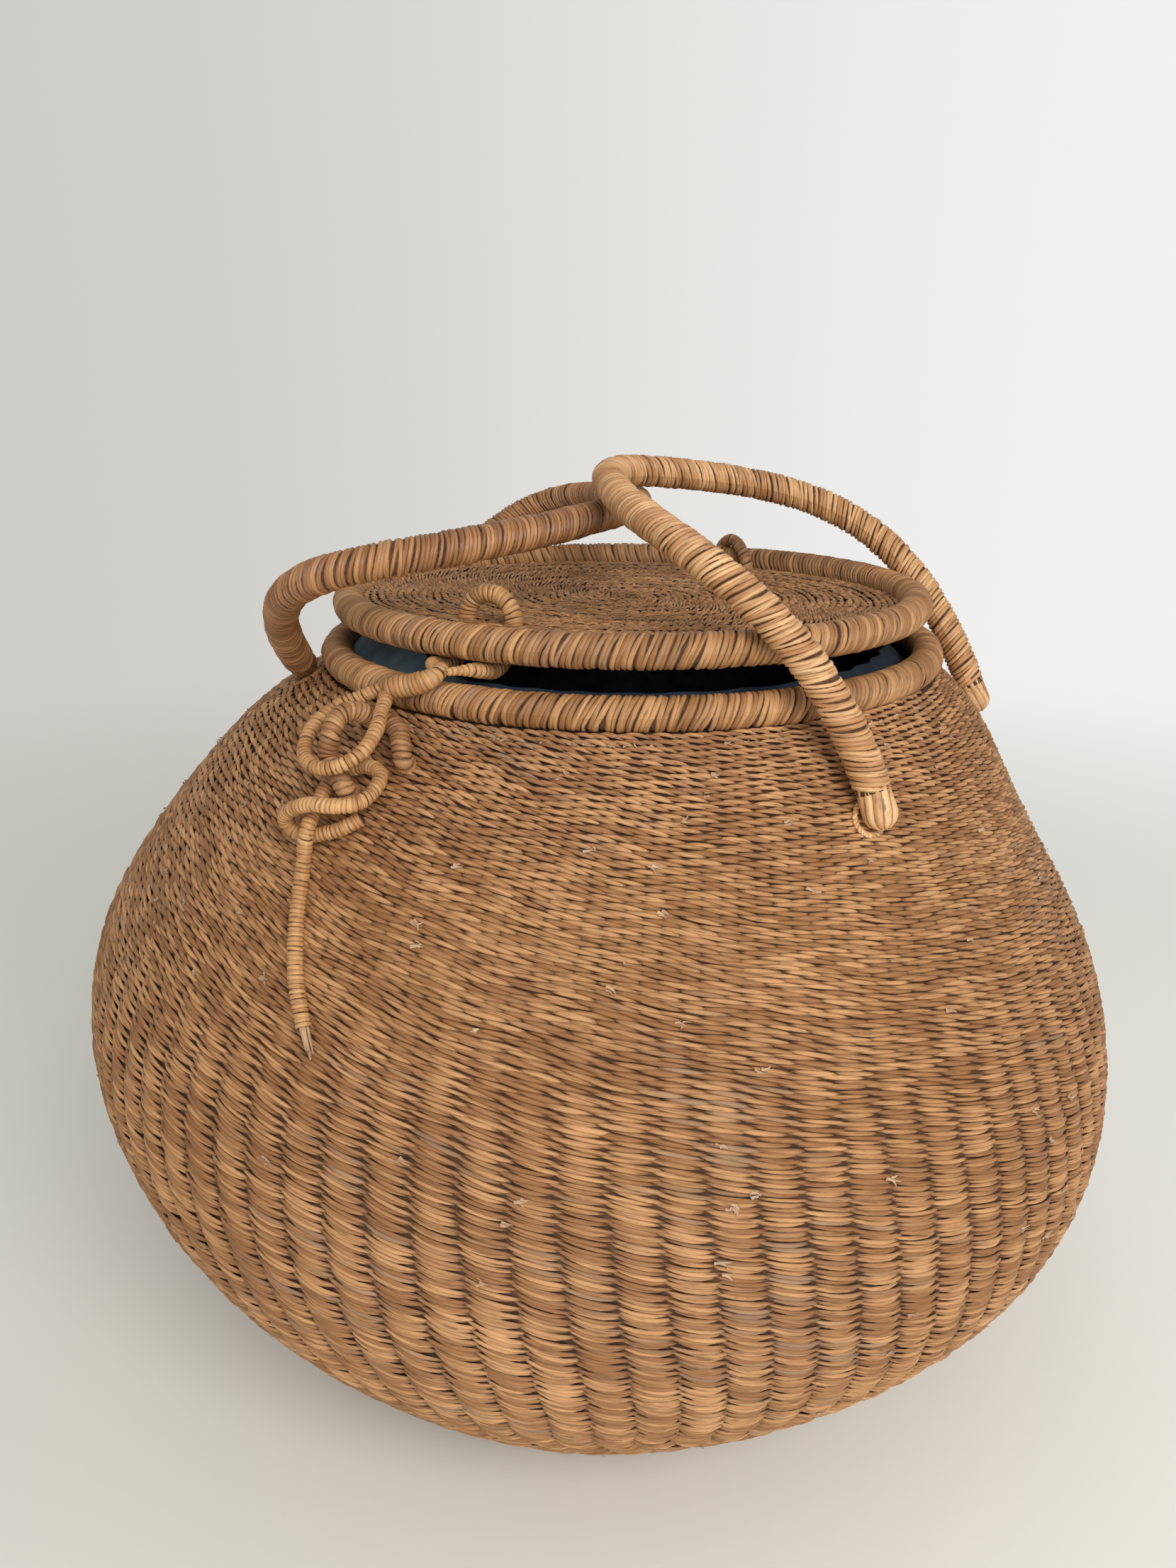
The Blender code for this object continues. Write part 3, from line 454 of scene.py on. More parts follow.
tie = dict(radius=0.0032, pitch=0.0019, height=0.0007, slant=0.0005, reedLength=0.0125, reeds=9, tucked=0.004)
tieRoute = ((0.0130, -0.0180, 0.0038), (0.0080, -0.0230, 0.0038), (-0.0010, -0.0280, 0.0038),
            (-0.0100, -0.0300, 0.0055), (-0.0135, -0.0280, 0.0100), (-0.0080, -0.0240, 0.0155),
            (0.0010, -0.0210, 0.0175), (0.0090, -0.0190, 0.0155), (0.0142, -0.0145, 0.0112),
            (0.0135, -0.0060, 0.0070), (0.0090, 0.0005, 0.0045), (0.0015, 0.0030, 0.0038),
            (-0.0065, 0.0005, 0.0037), (-0.0118, -0.0065, 0.0040), (-0.0100, -0.0140, 0.0050),
            (-0.0062, -0.0205, 0.0072), (-0.0012, -0.0280, 0.0108), (0.0000, -0.0350, 0.0080),
            (0.0020, -0.0440, 0.0046), (0.0070, -0.0570, 0.0040), (0.0130, -0.0710, 0.0040),
            (0.0200, -0.0860, 0.0040), (0.0262, -0.0975, 0.0040))


def makeTie():
    path = course([claspPoint(*point) for point in tieRoute])
    where, length = path
    core = tube("tieCore", path, tie["radius"] - 0.0006, "basket", steps=180)
    cord = windings("tieWrap", path, tie["radius"], "basket", tieFibre, tie, around=14, across=3,
                    untidy=0.8)
    reeds, along, side = copies("tieReeds", 8, 3, tie["reeds"])
    number = np.arange(tie["reeds"])[:, None]
    radius = np.where(number % 3 == 0, 0.0006, 0.0017)  # every third lies further in
    centre, first, second = where(length - tie["tucked"])
    ahead = unit(where(length)[0] - where(length - 0.002)[0])
    run = tie["tucked"] + along * tie["reedLength"] * (1 - 0.3 * chance.random((tie["reeds"], 1)))
    pinch = np.where(along > 0.55, 1 - (along - 0.55) * 1.3, 1.0)
    angle = number * turn / tie["reeds"] + (side - 0.5) * 1.3 * pinch
    reach = radius * (1 - 0.25 * along) + 0.0003 * (1 - (2 * side - 1) ** 2)
    settle(reeds, offPath((centre + ahead * run[..., None], first, second), reach, angle), "basket", reedFibre)
    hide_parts("tie_reed")
    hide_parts("tie_cord")
    line = where(np.linspace(0, length, 160))[0] + mouthCentre
    return length


print("tie made,", round(makeTie(), 4), "m long")

# the last four: where a change up the wall starts and how far it takes
weave = dict(rowPitch=0.0039, neckPitch=0.0034, sectors=44, split=(0.035, 0.085), crest=0.0005, depth=0.0018,
             shallow=0.0011, bulge=0.0011, slope=0.24, neckSlope=0.22, overlap=0.12, width=0.56, topGap=0.0045,
             backingDepth=0.0021, backingThickness=0.0016, lowest=0.0003,
             closer=(0.20, 0.14), staggered=(0.25, 0.09), looser=(0.36, 0.05), flatter=(0.31, 0.08))
mostTriangles = 190000                                  # in one piece


def wander(azimuth, climb):
    # how the rows stray from level
    far = climb * 60
    return (0.0009 * np.sin(azimuth * 7 + far * 0.7) + 0.0005 * np.sin(azimuth * 17 - far * 1.3 + 2)
            + 0.0003 * np.sin(azimuth * 31 + far * 3.1 + 1)) * easeIn((wallClimb - climb) / 0.03) * easeIn(climb / 0.02)


def upTheWall(level, change):
    start, span = weave[change]
    return easeIn((level - start) / span)


def rowPitch(level):
    return weave["rowPitch"] + (weave["neckPitch"] - weave["rowPitch"]) * upTheWall(level, "closer")


def wallStitches():
    # left and right azimuth and the level of every stitch, row by row
    sectors = weave["sectors"]
    even = np.mod(np.arange(sectors) * 0.618034, 1.0)   # neighbours differ, and the whole stays even
    splitAt = weave["split"][0] + weave["split"][1] * even
    found = []
    level = 0.001
    while level < wallClimb - weave["topGap"]:
        share = 1 + easeIn((level - splitAt) / 0.03 + 0.5)
        edges = np.concatenate([[0.0], np.cumsum(share)]) / share.sum() * turn
        halves = level > splitAt
        for i in range(sectors):
            marks = np.linspace(edges[i], edges[i + 1], 3 if halves[i] else 2)
            found += [(marks[j], marks[j + 1], level) for j in range(len(marks) - 1)]
        level += float(rowPitch(level))
    return plied(found)


def plied(found):
    # each stitch is two strands, one over the other
    return np.array([(*stitch, ply) for stitch in found for ply in (-1, 1)])


def stitchShape(along, side, ply, pitch, slant, staggered, loose=0.0):
    # share of the way between stakes, height over the row's middle, and depth below the crest
    count = len(along)
    full = np.sin(along * math.pi)
    reach = (weave["overlap"] + 0.03 * staggered - 0.05 * loose) * (1 + spread(count, 0.25))
    way = along * (1 + 2 * reach) - reach
    wide = pitch * (weave["width"] + 0.05 * staggered - 0.01 * loose) * (1 + spread(count, 0.10))
    wide = wide * (0.14 + 0.12 * staggered + (0.86 - 0.12 * staggered) * full ** 0.6)
    apart = ply * pitch * (0.25 + spread(count, 0.025)) * (1 - 0.25 * (1 - staggered) * (1 - full ** 0.7))
    dive = (1 - np.cos((way - 0.5) * math.pi)) ** 1.4 * (1 + spread(count, 0.12))
    dive = dive * (weave["depth"] + (weave["shallow"] - weave["depth"]) * staggered + 0.0004 * loose)
    hump = weave["bulge"] * (1 - (2 * side - 1) ** 2) * (0.5 + 0.5 * full)
    way = way + (0.05 + 0.20 * staggered) * ply + spread(count, 0.02 + 0.03 * staggered)
    up = slant * (1 + spread(count, 0.06)) * (0.5 - way) + apart + wide * (side - 0.5)
    return way, up, weave["crest"] - weave["bulge"] + hump - dive + spread(count, 0.00022)


def makeWall():
    stitches = wallStitches()
    along, across = 6, 3                                # faces of one strand
    bands = np.array_split(stitches, math.ceil(len(stitches) * 2 * along * across / mostTriangles))
    for number, band in enumerate(bands):
        left, right, level, ply = band.T[..., None]
        piece, run, side = copies(f"wallWeave{number + 1}", along, across, len(band))
        pitch = rowPitch(level)
        slope = weave["slope"] + (weave["neckSlope"] - weave["slope"]) * upTheWall(level, "flatter")
        slant = slope * (right - left) * wallLine(level[:, 0])[:, :1]
        staggered, loose = upTheWall(level, "staggered"), upTheWall(level, "looser")
        way, up, out = stitchShape(run, side, ply, pitch, slant, staggered, loose)
        azimuth = left + (right - left) * way
        climb = level + pitch * azimuth / turn + up
        climb = climb + wander(azimuth, climb)
        points = wallPoint(azimuth, np.clip(climb, 0.0, wallClimb), out)
        points[..., 2] = np.maximum(points[..., 2], weave["lowest"])
        settle(piece, points, "basket", twined)
        if number == 0:
            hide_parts("basket_wall")
    backing, around, rise = copies("wallBacking", 120, 56, 1)
    points = wallPoint(around * turn, rise * wallClimb, -weave["backingDepth"])
    layUnder(backing, points, "basket", weave["backingThickness"])
    print("wall woven,", len(stitches), "stitches")


frays = dict(spots=300, slivers=4, length=0.0036, width=0.0012, curl=0.0011, underRim=0.011, every=7)


def makeFrays():
    # broken ends of fibre that stand off the weave a few together, and some more under the rim
    count = frays["spots"] * frays["slivers"]
    piece, along, side = copies("frayedEnds", 5, 1, count)
    azimuth = np.repeat(chance.random(frays["spots"]) * turn, frays["slivers"])[:, None] + spread(count, 0.004)
    climb = np.repeat(0.05 + 0.90 * chance.random(frays["spots"]), frays["slivers"])[:, None] * wallClimb
    climb = climb + spread(count, 0.0008)
    some = slice(None, None, frays["every"])
    climb[some] = wallClimb - frays["underRim"]
    azimuth[some] = turn * chance.random((len(azimuth[some]), 1))
    heading = chance.normal(-0.25, 0.35, (count, 1)) + along * chance.normal(0, 0.5, (count, 1))
    length = frays["length"] * (0.4 + chance.random((count, 1)))
    across = (side - 0.5) * frays["width"] * (1 - 0.75 * along) * (0.5 + chance.random((count, 1)))
    ahead = (along - 0.5) * length * np.cos(heading) - across * np.sin(heading)
    rise = (along - 0.5) * length * np.sin(heading) + across * np.cos(heading)
    lift = frays["curl"] * along ** 2 * chance.random((count, 1)) + 0.0001
    points = wallPoint(azimuth + ahead / 0.2, climb + rise, weave["crest"] + lift)
    settle(piece, points, "basket", reedFibre)


bottom = dict(rowPitch=0.0036, slant=0.0042, parts=((0.07, 46), (0.03, 23), (0.006, 12)), height=0.0007,
              backing=0.0033, backingThickness=0.0008)


def partsAt(radius, steps):
    # how many stitches go round at a radius
    return next(parts for least, parts in steps if radius > least)


def makeFloor():
    # the woven floor, seen from below
    found = []
    radius = wall["baseRadius"] - 0.001
    while radius > bottom["parts"][-1][0]:
        parts = partsAt(radius, bottom["parts"])
        edges = np.linspace(0, turn, parts + 1)
        found += [(edges[i], edges[i + 1], radius) for i in range(parts)]
        radius -= bottom["rowPitch"]
    left, right, radius, ply = plied(found).T[..., None]
    piece, along, side = copies("floorWeave", 6, 2, len(left))
    way, up, out = stitchShape(along, side, ply, bottom["rowPitch"], bottom["slant"], 0.0)
    azimuth = left + (right - left) * way
    over = wallPoint(azimuth, 0.0) * (1, 1, 0)
    points = baseCentre + (over - baseCentre) * ((radius + up) / wall["baseRadius"])[..., None]
    points[..., 2] = np.maximum(weave["lowest"], bottom["height"] - out)
    settle(piece, points, "basket", twined)
    disc, around, rise = copies("floorBacking", 92, 12, 1)
    over = wallPoint(around * turn, 0.0) * (1, 1, 0)
    points = baseCentre + (over - baseCentre) * (1.0 - 0.999 * rise)[..., None] + (0, 0, bottom["backing"])
    layUnder(disc, points, "basket", bottom["backingThickness"])


makeWall()
makeFrays()
makeFloor()

hoops = dict(radius=0.0076, pitch=0.0024, height=0.0009, slant=0.0029, lean=math.radians(240), slits=0.18,
             group=8.5, drawn=dict(rim=0.10, lid=0.03), solid=0.0075, seat=0.005, seatTilt=math.radians(32),
             lidRadius=0.139, lidRise=0.024)                # solid: radius of the hoop in the frame
hingeRing = dict(radius=0.0036, pitch=0.0029, height=0.0009, slant=0.0008, azimuth=math.radians(93), skew=0.027,
                 solid=0.0034)
rimSlope = unit((wallLine(wallClimb) - wallLine(wallClimb - 0.001))[:2])
rimNormal = np.array([rimSlope[1], -rimSlope[0]])
seatWay = math.cos(hoops["seatTilt"]) * rimSlope + math.sin(hoops["seatTilt"]) * rimNormal
rim = np.array([wall["neckRadius"], wall["neckHeight"]]) + hoops["seat"] * seatWay      # radius and height
lid = np.array([hoops["lidRadius"], rim[1] + hoops["lidRise"]])


def ringCourse(ring):
    return course(polar(np.arange(48) * turn / 48, *ring), closed=True)


def makeHoops():
    for name, ring, body in (("rim", rim, "basket"), ("lid", lid, "lid")):
        path = ringCourse(ring)
        wrap = windings(name + "HoopWrap", path, hoops["radius"], body, hoopFibre, hoops,
                        drawn=hoops["drawn"][name])
        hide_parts(name + "_wrap")
        core = tube(name + "HoopCore", path, hoops["radius"] - 0.0009, body, steps=160)
        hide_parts(name + "_core")


makeHoops()
print("hoops wrapped")

lidWeave = dict(edge=lid[0] * math.cos(math.pi / 32) - 0.005, drop=0.001, dish=0.002, tilt=math.radians(1.7),
                rowPitch=0.0034, parts=((0.070, 104), (0.034, 52), (0.016, 26), (0.005, 12)), stagger=0.3,
                backing=0.0009, backingThickness=0.0010, slot=(0.021, 0.0115),
                slotAt=hingeRing["azimuth"] - 0.25 * hingeRing["skew"] / lid[0])


def lidHeight(azimuth, radius):
    lean = -np.sin(azimuth) * radius * math.tan(lidWeave["tilt"])
    return lid[1] - lidWeave["drop"] + lean - lidWeave["dish"] * (1 - (radius / lidWeave["edge"]) ** 2)


def inSlot(azimuth, radius, margin=0.0):
    across = np.sin(azimuth - lidWeave["slotAt"]) * radius
    return (np.abs(across) < lidWeave["slot"][0] / 2 + margin) & (
        radius * np.cos(azimuth - lidWeave["slotAt"]) > lidWeave["edge"] - lidWeave["slot"][1] - margin)


def cutSlot(bm):
    gone = []
    for face in bm.faces:
        middle = np.array(face.calc_center_median()) - mouthCentre
        if inSlot(math.atan2(middle[1], middle[0]), math.hypot(middle[0], middle[1])):
            gone.append(face)
    bmesh.ops.delete(bm, geom=gone, context="FACES")


def makeLidWeave():
    found = []
    radius = lidWeave["edge"] + 0.001
    row = 0
    while radius > lidWeave["parts"][-1][0]:
        parts = partsAt(radius, lidWeave["parts"])
        edges = np.linspace(0, turn, parts + 1) + (row % 2) * turn / parts * lidWeave["stagger"]
        found += [(edges[i], edges[i + 1], radius) for i in range(parts)]
        radius -= lidWeave["rowPitch"]
        row += 1
    rows = np.array(found)
    rows = rows[~inSlot(rows[:, :2].mean(axis=1), rows[:, 2], 0.001)]
    left, right, radius, ply = plied(rows).T[..., None]
    for name, face in (("lidTop", 1), ("lidUnder", -1)):
        piece, along, side = copies(name, 5, 2, len(left))
        way, up, out = stitchShape(along, side, ply, lidWeave["rowPitch"], lidWeave["rowPitch"], 0.6, 1.5)
        azimuth = left + (right - left) * way if face < 0 else right - (right - left) * way
        reach = radius - up + 0.0005 * np.sin(azimuth * 11 + radius * 200)
        raised = 0.0022 + 0.0005 * np.sin(radius * 420) + 0.8 * out
        points = polar(azimuth, reach, lidHeight(azimuth, reach) + face * raised)
        settle(piece, points, "lid", lidFibre)
        if face > 0:
            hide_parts("lid_weave")
    disc, around, run = copies("lidBacking", 144, 40, 1)
    reach = (lidWeave["edge"] + 0.001) * (1 - 0.999 * run)
    points = polar(around * turn, reach, lidHeight(around * turn, reach) + lidWeave["backing"])
    layUnder(disc, points, "lid", lidWeave["backingThickness"], cutSlot)


makeLidWeave()
print("lid woven")

# hoop, angle round it, gap to it, share of the skew
hingeTurns = (("lid", 180, 0.0009, -0.42), ("lid", 90, 0.0005, 0.14), ("lid", 12, 0.0013, 0.55),
              ("rim", 0, 0.0012, 0.58), ("rim", -59, 0.0012, 0.45), ("rim", -108, 0.0020, 0.05),
              ("rim", -158, 0.0020, -0.35))
staple = dict(radius=0.0043, pitch=0.0023, height=0.0009, slant=0.0009)
stapleRoute = ((0.0130, 0.0090, 0.0025), (0.0065, 0.0160, 0.0058), (-0.0040, 0.0215, 0.0070),
               (-0.0115, 0.0195, 0.0118), (-0.0125, 0.0165, 0.0180), (-0.0120, 0.0100, 0.0222),
               (-0.0105, 0.0035, 0.0200), (-0.0110, -0.0010, 0.0145), (-0.0065, -0.0045, 0.0108),
               (-0.0015, -0.0080, 0.0080), (-0.0005, -0.0095, 0.0025))
hasp = dict(azimuth=math.radians(-91), pivot=(0.0110, -0.0105), eye=0.0034, neck=0.0048, strand=0.0031,
            split=(-0.0147, 0.0300, 0.0150), pitch=0.0021, height=0.0007, slant=0.0006, apart=0.0019, bound=0.0020)
binding = dict(pitch=hasp["pitch"], height=0.0006, slant=0.0007)
haspRing = ((-0.0088, 0.0268, 0.0153), (-0.0047, 0.0223, 0.0157), (0.0032, 0.0131, 0.0168),
            (0.0067, 0.0063, 0.0177), (0.0074, 0.0005, 0.0184), (0.0029, -0.0057, 0.0190),
            (-0.0075, -0.0083, 0.0188), (-0.0175, -0.0050, 0.0182), (-0.0256, 0.0029, 0.0174),
            (-0.0293, 0.0119, 0.0164), (-0.0268, 0.0204, 0.0156), (-0.0215, 0.0264, 0.0150))
arch = dict(cane=0.0041, leg=0.0029, half=0.0145, inset=0.0220, rise=0.0125, pitch=0.0023, height=0.0008, slant=0.0007,
            apart=0.0044, under=0.0033, dome=0.0025)


def lidPoint(across, radius, height):
    return polar(hasp["azimuth"] + across / lid[0], radius, height)


def makeHinge():
    points = []
    for name, angle, gap, share in hingeTurns:
        ring = lid if name == "lid" else rim
        reach = hoops["solid"] + hingeRing["solid"] + gap
        points.append(polar(hingeRing["azimuth"] + share * hingeRing["skew"] / lid[0],
                            ring[0] + reach * math.cos(math.radians(angle)),
                            ring[1] + reach * math.sin(math.radians(angle))))
    path = course(points, closed=True)
    wrap = windings("hingeWrap", path, hingeRing["radius"], "basket", caneFibre, hingeRing, around=14)
    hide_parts("hinge_ring")
    tube("hingeCore", path, hingeRing["radius"] - 0.0007, "basket")


def makeStaple():
    ends = [[claspPoint(*foot[:2], out) for out in (-0.005, -0.001)] for foot in (stapleRoute[0], stapleRoute[-1])]
    path = course(ends[0] + [claspPoint(*point) for point in stapleRoute] + ends[1][::-1])
    wrap = windings("stapleWrap", path, staple["radius"], "basket", caneFibre, staple, around=14)
    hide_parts("staple")
    tube("stapleCore", path, staple["radius"] - 0.0009, "basket")


def makeArch():
    pivot = lid + hasp["pivot"]
    reach = arch["apart"] + arch["leg"]
    under = lid[1] - hoops["solid"] - arch["under"]
    foot = lid[0] - arch["inset"]
    level = float(lidHeight(hasp["azimuth"], foot))
    half = ((reach - 0.0026, pivot[0], pivot[1]), (reach + 0.0035, lid[0] + 0.003, under),
            (arch["half"] - 0.0015, lid[0] - 0.0105, under - 0.0015),
            (arch["half"], foot + 0.001, level - 0.002), (arch["half"] - 0.0005, foot - 0.0005, level + 0.006),
            (arch["half"] * 0.55, foot - 0.001, level + arch["rise"]))
    points = [lidPoint(-across, *place) for across, *place in half]
    points += [lidPoint(across, *place) for across, *place in half[::-1]]
    path = course(points)
    length = path[1]

    def archRadius(here):
        middle = 1 - np.abs(here / length * 2 - 1)
        whole = arch["leg"] + (arch["cane"] - arch["leg"]) * np.clip(middle * 15 / 4 - 0.25, 0, 1)
        return whole - 0.0009 * (1 - easeIn(middle / 0.2))

    wrap = windings("archWrap", path, domed(archRadius, length, arch["dome"]), "lid", tieFibre, arch,
                    start=-arch["dome"], end=length + arch["dome"], around=14)
    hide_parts("hasp_arch")
    tube("archCore", path, domed(lambda here: archRadius(here) - 0.0006, length, 0.002), "lid",
         start=-0.002, end=length + 0.002)


def makeHasp():
    points = [lidPoint(across, lid[0] + out, lid[1] + up) for across, out, up in
              ((0.0, *hasp["pivot"]), (-0.0010, 0.0160, -0.0130), (-0.0075, 0.0196, -0.0160),
               (-0.0141, 0.0224, -0.0180))]
    neck = course(points + [claspPoint(*hasp["split"])])
    neckRadius = domed(lambda here: hasp["eye"] + (hasp["neck"] - hasp["eye"]) * easeIn(here / 0.012), 1.0, 0.0036)
    wrap = windings("haspNeckWrap", neck, neckRadius, "hasp", tieFibre, binding, start=-0.0039,
                    end=neck[1] - 0.003, around=16)
    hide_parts("hasp_binding")
    tube("haspNeckCore", neck, lambda here: neckRadius(here) * 0.88, "hasp", start=-0.003,
         end=neck[1] - 0.004)
    where, length = neck
    over = unit(claspPoint(0, 0, 0.001) - claspPoint(0, 0, 0))
    strands = []
    for along in (length - 0.010, length - 0.006, length - 0.002):  # the cane's two ends, inside the binding
        ahead = unit(where(along + 0.001)[0] - where(along - 0.001)[0])
        aside = unit(np.cross(over, ahead)) * hasp["apart"]
        strands.append((where(along)[0] + aside, where(along)[0] - aside))
    ring = course([pair[0] for pair in strands] + [claspPoint(*point) for point in haspRing]
                  + [pair[1] for pair in strands[::-1]])

    def strandRadius(here):
        bare = easeIn((np.minimum(here, ring[1] - here) - 0.004) / 0.008)
        return hasp["bound"] + (hasp["strand"] - hasp["bound"]) * bare

    wrap = windings("haspRingWrap", ring, strandRadius, "hasp", tieFibre, hasp, around=14)
    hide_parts("hasp_cane")
    tube("haspRingCore", ring, lambda here: strandRadius(here) - 0.0005, "hasp")


makeHinge()
makeStaple()
makeArch()
makeHasp()
print("hinge, staple and hasp wrapped")

handles = dict(radius=0.0077, pitch=0.0022, height=0.0011, slant=0.0028, lean=math.radians(90), slits=0.14,
               core=0.0069, wrapFrom=0.0095, foot=0.0072, footStrips=11, footFrom=-0.0066, footLength=0.0195)
collar = dict(ring=0.0076, radius=0.0013, pitch=0.0018, height=0.0004, slant=0.0012, points=14, out=0.0004)
ribs = dict(count=36, depth=0.0009, fade=0.0114)        # of the solid wall, which the feet sit on
handleSets = dict(
    right=dict(feet=(-26.0, 37.5), below=0.0546, past=0.011, rise=0.0609,
               arm=((0.145, 0.50, 0.925), (0.346, 0.83, 1.085), (0.673, 0.907, 1.212))),
    left=dict(feet=(170.0, 223.0), below=0.0114, past=0.0052, rise=0.0447,
              arm=((0.128, 0.602, 2.05), (0.293, 0.963, 2.38), (0.638, 0.809, 2.58))))


def bezier(controls, count, end):
    line = []
    for share in np.linspace(0, end, count):
        points = np.asarray(controls, float)
        while len(points) > 1:
            points = points[:-1] * (1 - share) + points[1:] * share
        line.append(points[0])
    return np.array(line)


def ribDepth(azimuth, climb):
    between = 1 - abs(1 - azimuth * ribs["count"] / math.pi % 2)
    return ribs["depth"] * between * max(0.0, min(1.0, (wallClimb - climb) / ribs["fade"], climb / ribs["fade"]))


def handleLine(feet, below, past, rise, arm):
    climb = wallClimb - below
    ends = [wallPoint(math.radians(foot), climb, handles["foot"] + 0.0003 - ribDepth(math.radians(foot), climb))
            for foot in feet]
    middle = (ends[0] + ends[1]) / 2
    axis = unit(ends[1] - ends[0])
    out = unit(np.cross(axis, [0, 0, 1]))
    half = np.linalg.norm(ends[1] - ends[0]) / 2
    reach = middle @ out + past
    height = lid[1] + rise - middle[2]
    arms = []
    for side in (-1, 1):
        points = [middle - out * reach * inwards + np.array([0, 0, 1]) * height * up + axis * side * half * wide
                  for inwards, up, wide in ((0.0, 0.0, 1.0), *arm, (1.0, 1.0, 0.0))]
        arms.append(bezier(points, 40, 0.95))
    return np.concatenate([arms[0], arms[1][::-1]])


def makeHandle(name, sizes):
    line = handleLine(**sizes)
    path = course(line)
    where, length = path
    body = name + "_handle"
    # the left handle takes the copy painted darker as shade
    fibre = shadedHandleFibre if name == "left" else litHandleFibre
    start = handles["wrapFrom"]
    wrap = windings(name + "HandleWrap", path, handles["radius"], body, fibre, handles, start=start,
                    end=length - start)
    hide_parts(body + "_wrap")
    core = tube(name + "HandleCore", path, handles["core"], body, start=start - 0.001,
                end=length - start + 0.001)
    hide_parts(body + "_core")
    count = handles["footStrips"]
    for number, (base, ahead, reverse) in enumerate(((0.0, 1, 1), (length, -1, -1))):
        sleeve, run, side = copies(f"{name}Foot{number + 1}", 10, 3, count)
        along = handles["footFrom"] + run * handles["footLength"]
        ball = np.sqrt(np.maximum(handles["foot"] ** 2 - np.minimum(along, 0) ** 2, 1e-7))
        leg = handles["foot"] + (handles["core"] - handles["foot"]) * easeIn(along / 0.009)
        angle = np.arange(count)[:, None] * turn / count + (side - 0.5) * turn / count * 1.12 * reverse + along * 30
        over = np.where(along < 0, ball, leg) - 0.0006 * (2 * side - 1) ** 2 + spread(count, 0.0001)
        centre, first, second = where(base + ahead * np.maximum(along, 0))
        tip = where(base)[0] - where(base + ahead * 0.001)[0]
        centre = centre + unit(tip) * np.maximum(-along, 0)[..., None]
        settle(sleeve, offPath((centre, first, second), over, angle), body, fibre)
    climb = wallClimb - sizes["below"]
    angle = np.arange(collar["points"]) * turn / collar["points"]
    for mark, foot in zip("ab", sizes["feet"]):
        azimuth = math.radians(foot) + collar["ring"] * np.cos(angle) / wallLine(climb)[0]
        ring = course(wallPoint(azimuth, climb + collar["ring"] * np.sin(angle), collar["out"]), closed=True)
        lashing = windings(f"{name}Collar{mark.upper()}", ring, collar["radius"], "basket", fibre,
                           collar, around=10, across=3)
        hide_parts(f"{name}_collar_{mark}")


for handle in handleSets.items():
    makeHandle(*handle)
print("handles wrapped")

liner = dict(depth=0.0087, mouth=0.1245, top=0.0035, raised=0.0095, pleats=34, pleatDepth=0.0011, below=0.030,
             neckFrom=0.86, lowest=0.0062, flat=(1.62, 0.49), floor=(0.253, 0.253))


def linerMaterial():
    made, tree, shader = newMaterial("liner cloth")
    spot = node(tree, "TexCoord").outputs["Object"]
    uv = node(tree, "UVMap", uv_map="UVMap").outputs[0]
    warp, weft = (node(tree, "TexWave", {"Vector": uv, "Scale": scale, "Distortion": 0.4},
                       bands_direction=way).outputs[1] for scale, way in ((420.0, "X"), (160.0, "Y")))
    threads = maths(tree, "MULTIPLY", warp, weft)
    worn = ramp(tree, noise(tree, spot, 60.0), 0.35, 0.7)
    # the cloth's two colours are painted light and painted shade, split by side
    litCloth = blendColour(tree, worn, linear(66, 86, 98), linear(104, 122, 130))
    shadedCloth = blendColour(tree, worn, linear(20, 30, 42), linear(34, 46, 60))
    east = node(tree, "SeparateXYZ", {0: spot}).outputs[0]
    colour = blendColour(tree, ramp(tree, east, -0.02, 0.05), litCloth, shadedCloth)       # painted light: the cloth is paler on one side, where light falls, and dark navy as painted shade on the other
    colour = blendColour(tree, maths(tree, "MULTIPLY", threads, 0.2), colour, linear(110, 130, 146))
    tree.links.new(colour, shader.inputs["Base Color"])
    shader.inputs["Roughness"].default_value = 0.9
    addRelief(tree, shader, threads, 0.0002, 0.6)
    return made


def makeLiner():
    # a bag of cloth inside the wall, gathered in at its mouth
    cloth = linerMaterial()
    piece, around, rise = copies("linerCloth", 204, 44, 1)
    azimuth = around * turn
    topLevel = wallClimb - liner["below"]
    bag = wallPoint(azimuth, np.clip(rise / liner["neckFrom"], 0, 1) * topLevel, -liner["depth"])
    facing = np.mod(azimuth, turn) - turn
    raised = liner["raised"] * easeIn((facing + 2.75) / 0.25) * easeIn((-1.76 - facing) / 0.12)
    neck = polar(azimuth, liner["mouth"], rim[1] + liner["top"] + raised)
    straight = np.clip((rise - liner["neckFrom"]) / (1 - liner["neckFrom"]), 0, 1)
    points = bag * (1 - straight[..., None]) + neck * straight[..., None]
    gather = np.cos(azimuth * liner["pleats"] + 1.5 * np.sin(azimuth * 5)) * liner["pleatDepth"] * easeIn(straight)
    points = points + polar(azimuth, gather)
    points[..., 2] = np.maximum(points[..., 2], liner["lowest"])
    settle(piece, points, "basket", cloth)
    area = weld(piece)
    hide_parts("liner")
    print("liner area", round(area, 3))
    base, around, inwards = copies("linerFloor", 120, 10, 1)
    edge = wallPoint(around * turn, 0.0, -liner["depth"])
    points = baseCentre + (edge - baseCentre) * (1 - inwards)[..., None]
    points[..., 2] = edge[..., 2]
    settle(base, points, "basket", cloth)
    area = weld(base)
    print("liner floor", round(area, 4))


makeLiner()

studio = dict(floor=((236, 236, 226), (255, 255, 247)), backdrop=((206, 204, 198), (241, 241, 240)), keyPower=37.0,
              fillPower=5.0, worldStrength=0.48, fade=(0.55, 1.7), brightSide=math.radians(31.9), floorSize=8.0,
              aim=(0.0, 0.0, 0.2))


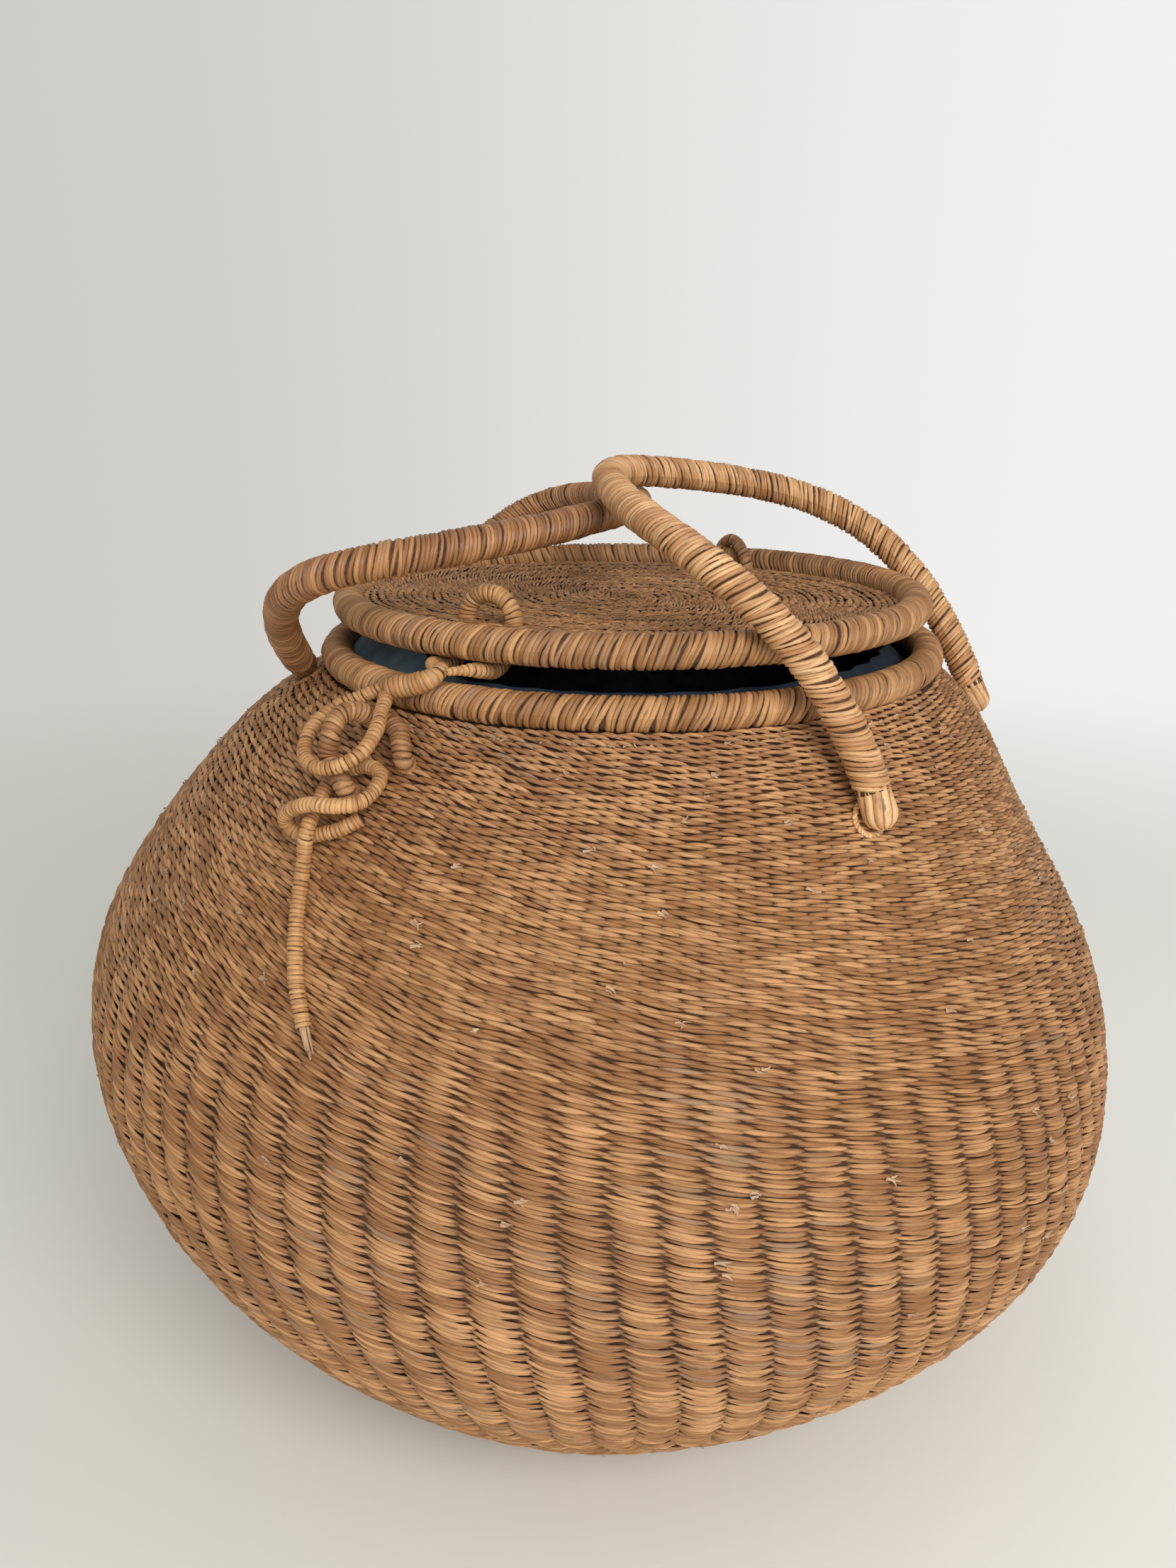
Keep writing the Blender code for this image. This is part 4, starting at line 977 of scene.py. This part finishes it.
def sideways(tree, vector, reach):
    # from 0 on the dim side to 1 on the bright side
    bright = tuple(polar(studio["brightSide"], 1.0))
    across = node(tree, "VectorMath", {0: vector, 1: bright}, operation="DOT_PRODUCT").outputs["Value"]
    return ramp(tree, across, -reach, reach)


def backdropColour(tree, heading):
    # painted light: the backdrop is darker on the dim side and lighter on the bright side
    dimSide, bright = (linear(*shade) for shade in studio["backdrop"])
    return blendColour(tree, sideways(tree, heading, 0.40), dimSide, bright)


def floorMaterial():
    # far off, the camera sees the floor run into the glowing backdrop, painted lighter on the bright side
    made, tree, shader = newMaterial("pale floor")
    shader.inputs["Roughness"].default_value = 0.7
    spot = node(tree, "TexCoord").outputs["Object"]
    # painted light: the floor's colour is lighter towards the bright side
    dimSide, bright = (linear(*shade) for shade in studio["floor"])
    tree.links.new(blendColour(tree, sideways(tree, spot, 0.6), dimSide, bright), shader.inputs["Base Color"])
    start = node(tree, "VectorMath", {0: spot, 1: (*cameraPlace["position"][:2], 0.0)}, operation="SUBTRACT")
    heading = node(tree, "VectorMath", {0: start.outputs[0]}, operation="NORMALIZE").outputs[0]
    far = node(tree, "VectorMath", {0: spot}, operation="LENGTH").outputs["Value"]
    camera = node(tree, "LightPath").outputs["Is Camera Ray"]
    seen = maths(tree, "MULTIPLY", camera, ramp(tree, far, *studio["fade"]))
    backdrop = node(tree, "Emission", {0: backdropColour(tree, heading), 1: 1.0})
    either = node(tree, "MixShader", {0: seen})
    tree.links.new(shader.outputs[0], either.inputs[1])
    tree.links.new(backdrop.outputs[0], either.inputs[2])
    tree.links.new(either.outputs[0], tree.nodes["Material Output"].inputs[0])
    return made


def makeStudio():
    bm = bmesh.new()
    bmesh.ops.create_grid(bm, x_segments=1, y_segments=1, size=studio["floorSize"])
    mesh = bpy.data.meshes.new("floor")
    bm.to_mesh(mesh)
    bm.free()
    floor = newObject("floor", mesh)
    mesh.materials.append(floorMaterial())
    world = bpy.data.worlds.new("studio")
    bpy.context.scene.world = world
    world.use_nodes = True
    tree = world.node_tree
    light = tree.nodes["Background"]
    light.inputs[1].default_value = studio["worldStrength"]
    light.inputs[0].default_value = (1.0, 1.0, 1.0, 1.0)
    heading = node(tree, "TexCoord").outputs["Generated"]
    backdrop = node(tree, "Background", {0: backdropColour(tree, heading), 1: 1.0})
    seen = node(tree, "LightPath").outputs["Is Camera Ray"]
    either = node(tree, "MixShader", {0: seen})
    tree.links.new(light.outputs[0], either.inputs[1])
    tree.links.new(backdrop.outputs[0], either.inputs[2])
    tree.links.new(either.outputs[0], tree.nodes["World Output"].inputs[0])
    for name, place, size, power in (("key", (1.60, -1.25, 1.45), 1.4, studio["keyPower"]),
                                     ("fill", (0.6, -2.2, 0.9), 2.0, studio["fillPower"])):
        lamp = bpy.data.lights.new(name, "AREA")
        lamp.shape = "DISK"
        lamp.size = size
        lamp.energy = power
        made = newObject(name, lamp)
        made.location = place
        made.rotation_euler = (Vector(studio["aim"]) - Vector(place)).to_track_quat("-Z", "Y").to_euler()


makeStudio()
bpy.context.scene.view_settings.view_transform = "Standard"
print("studio set")
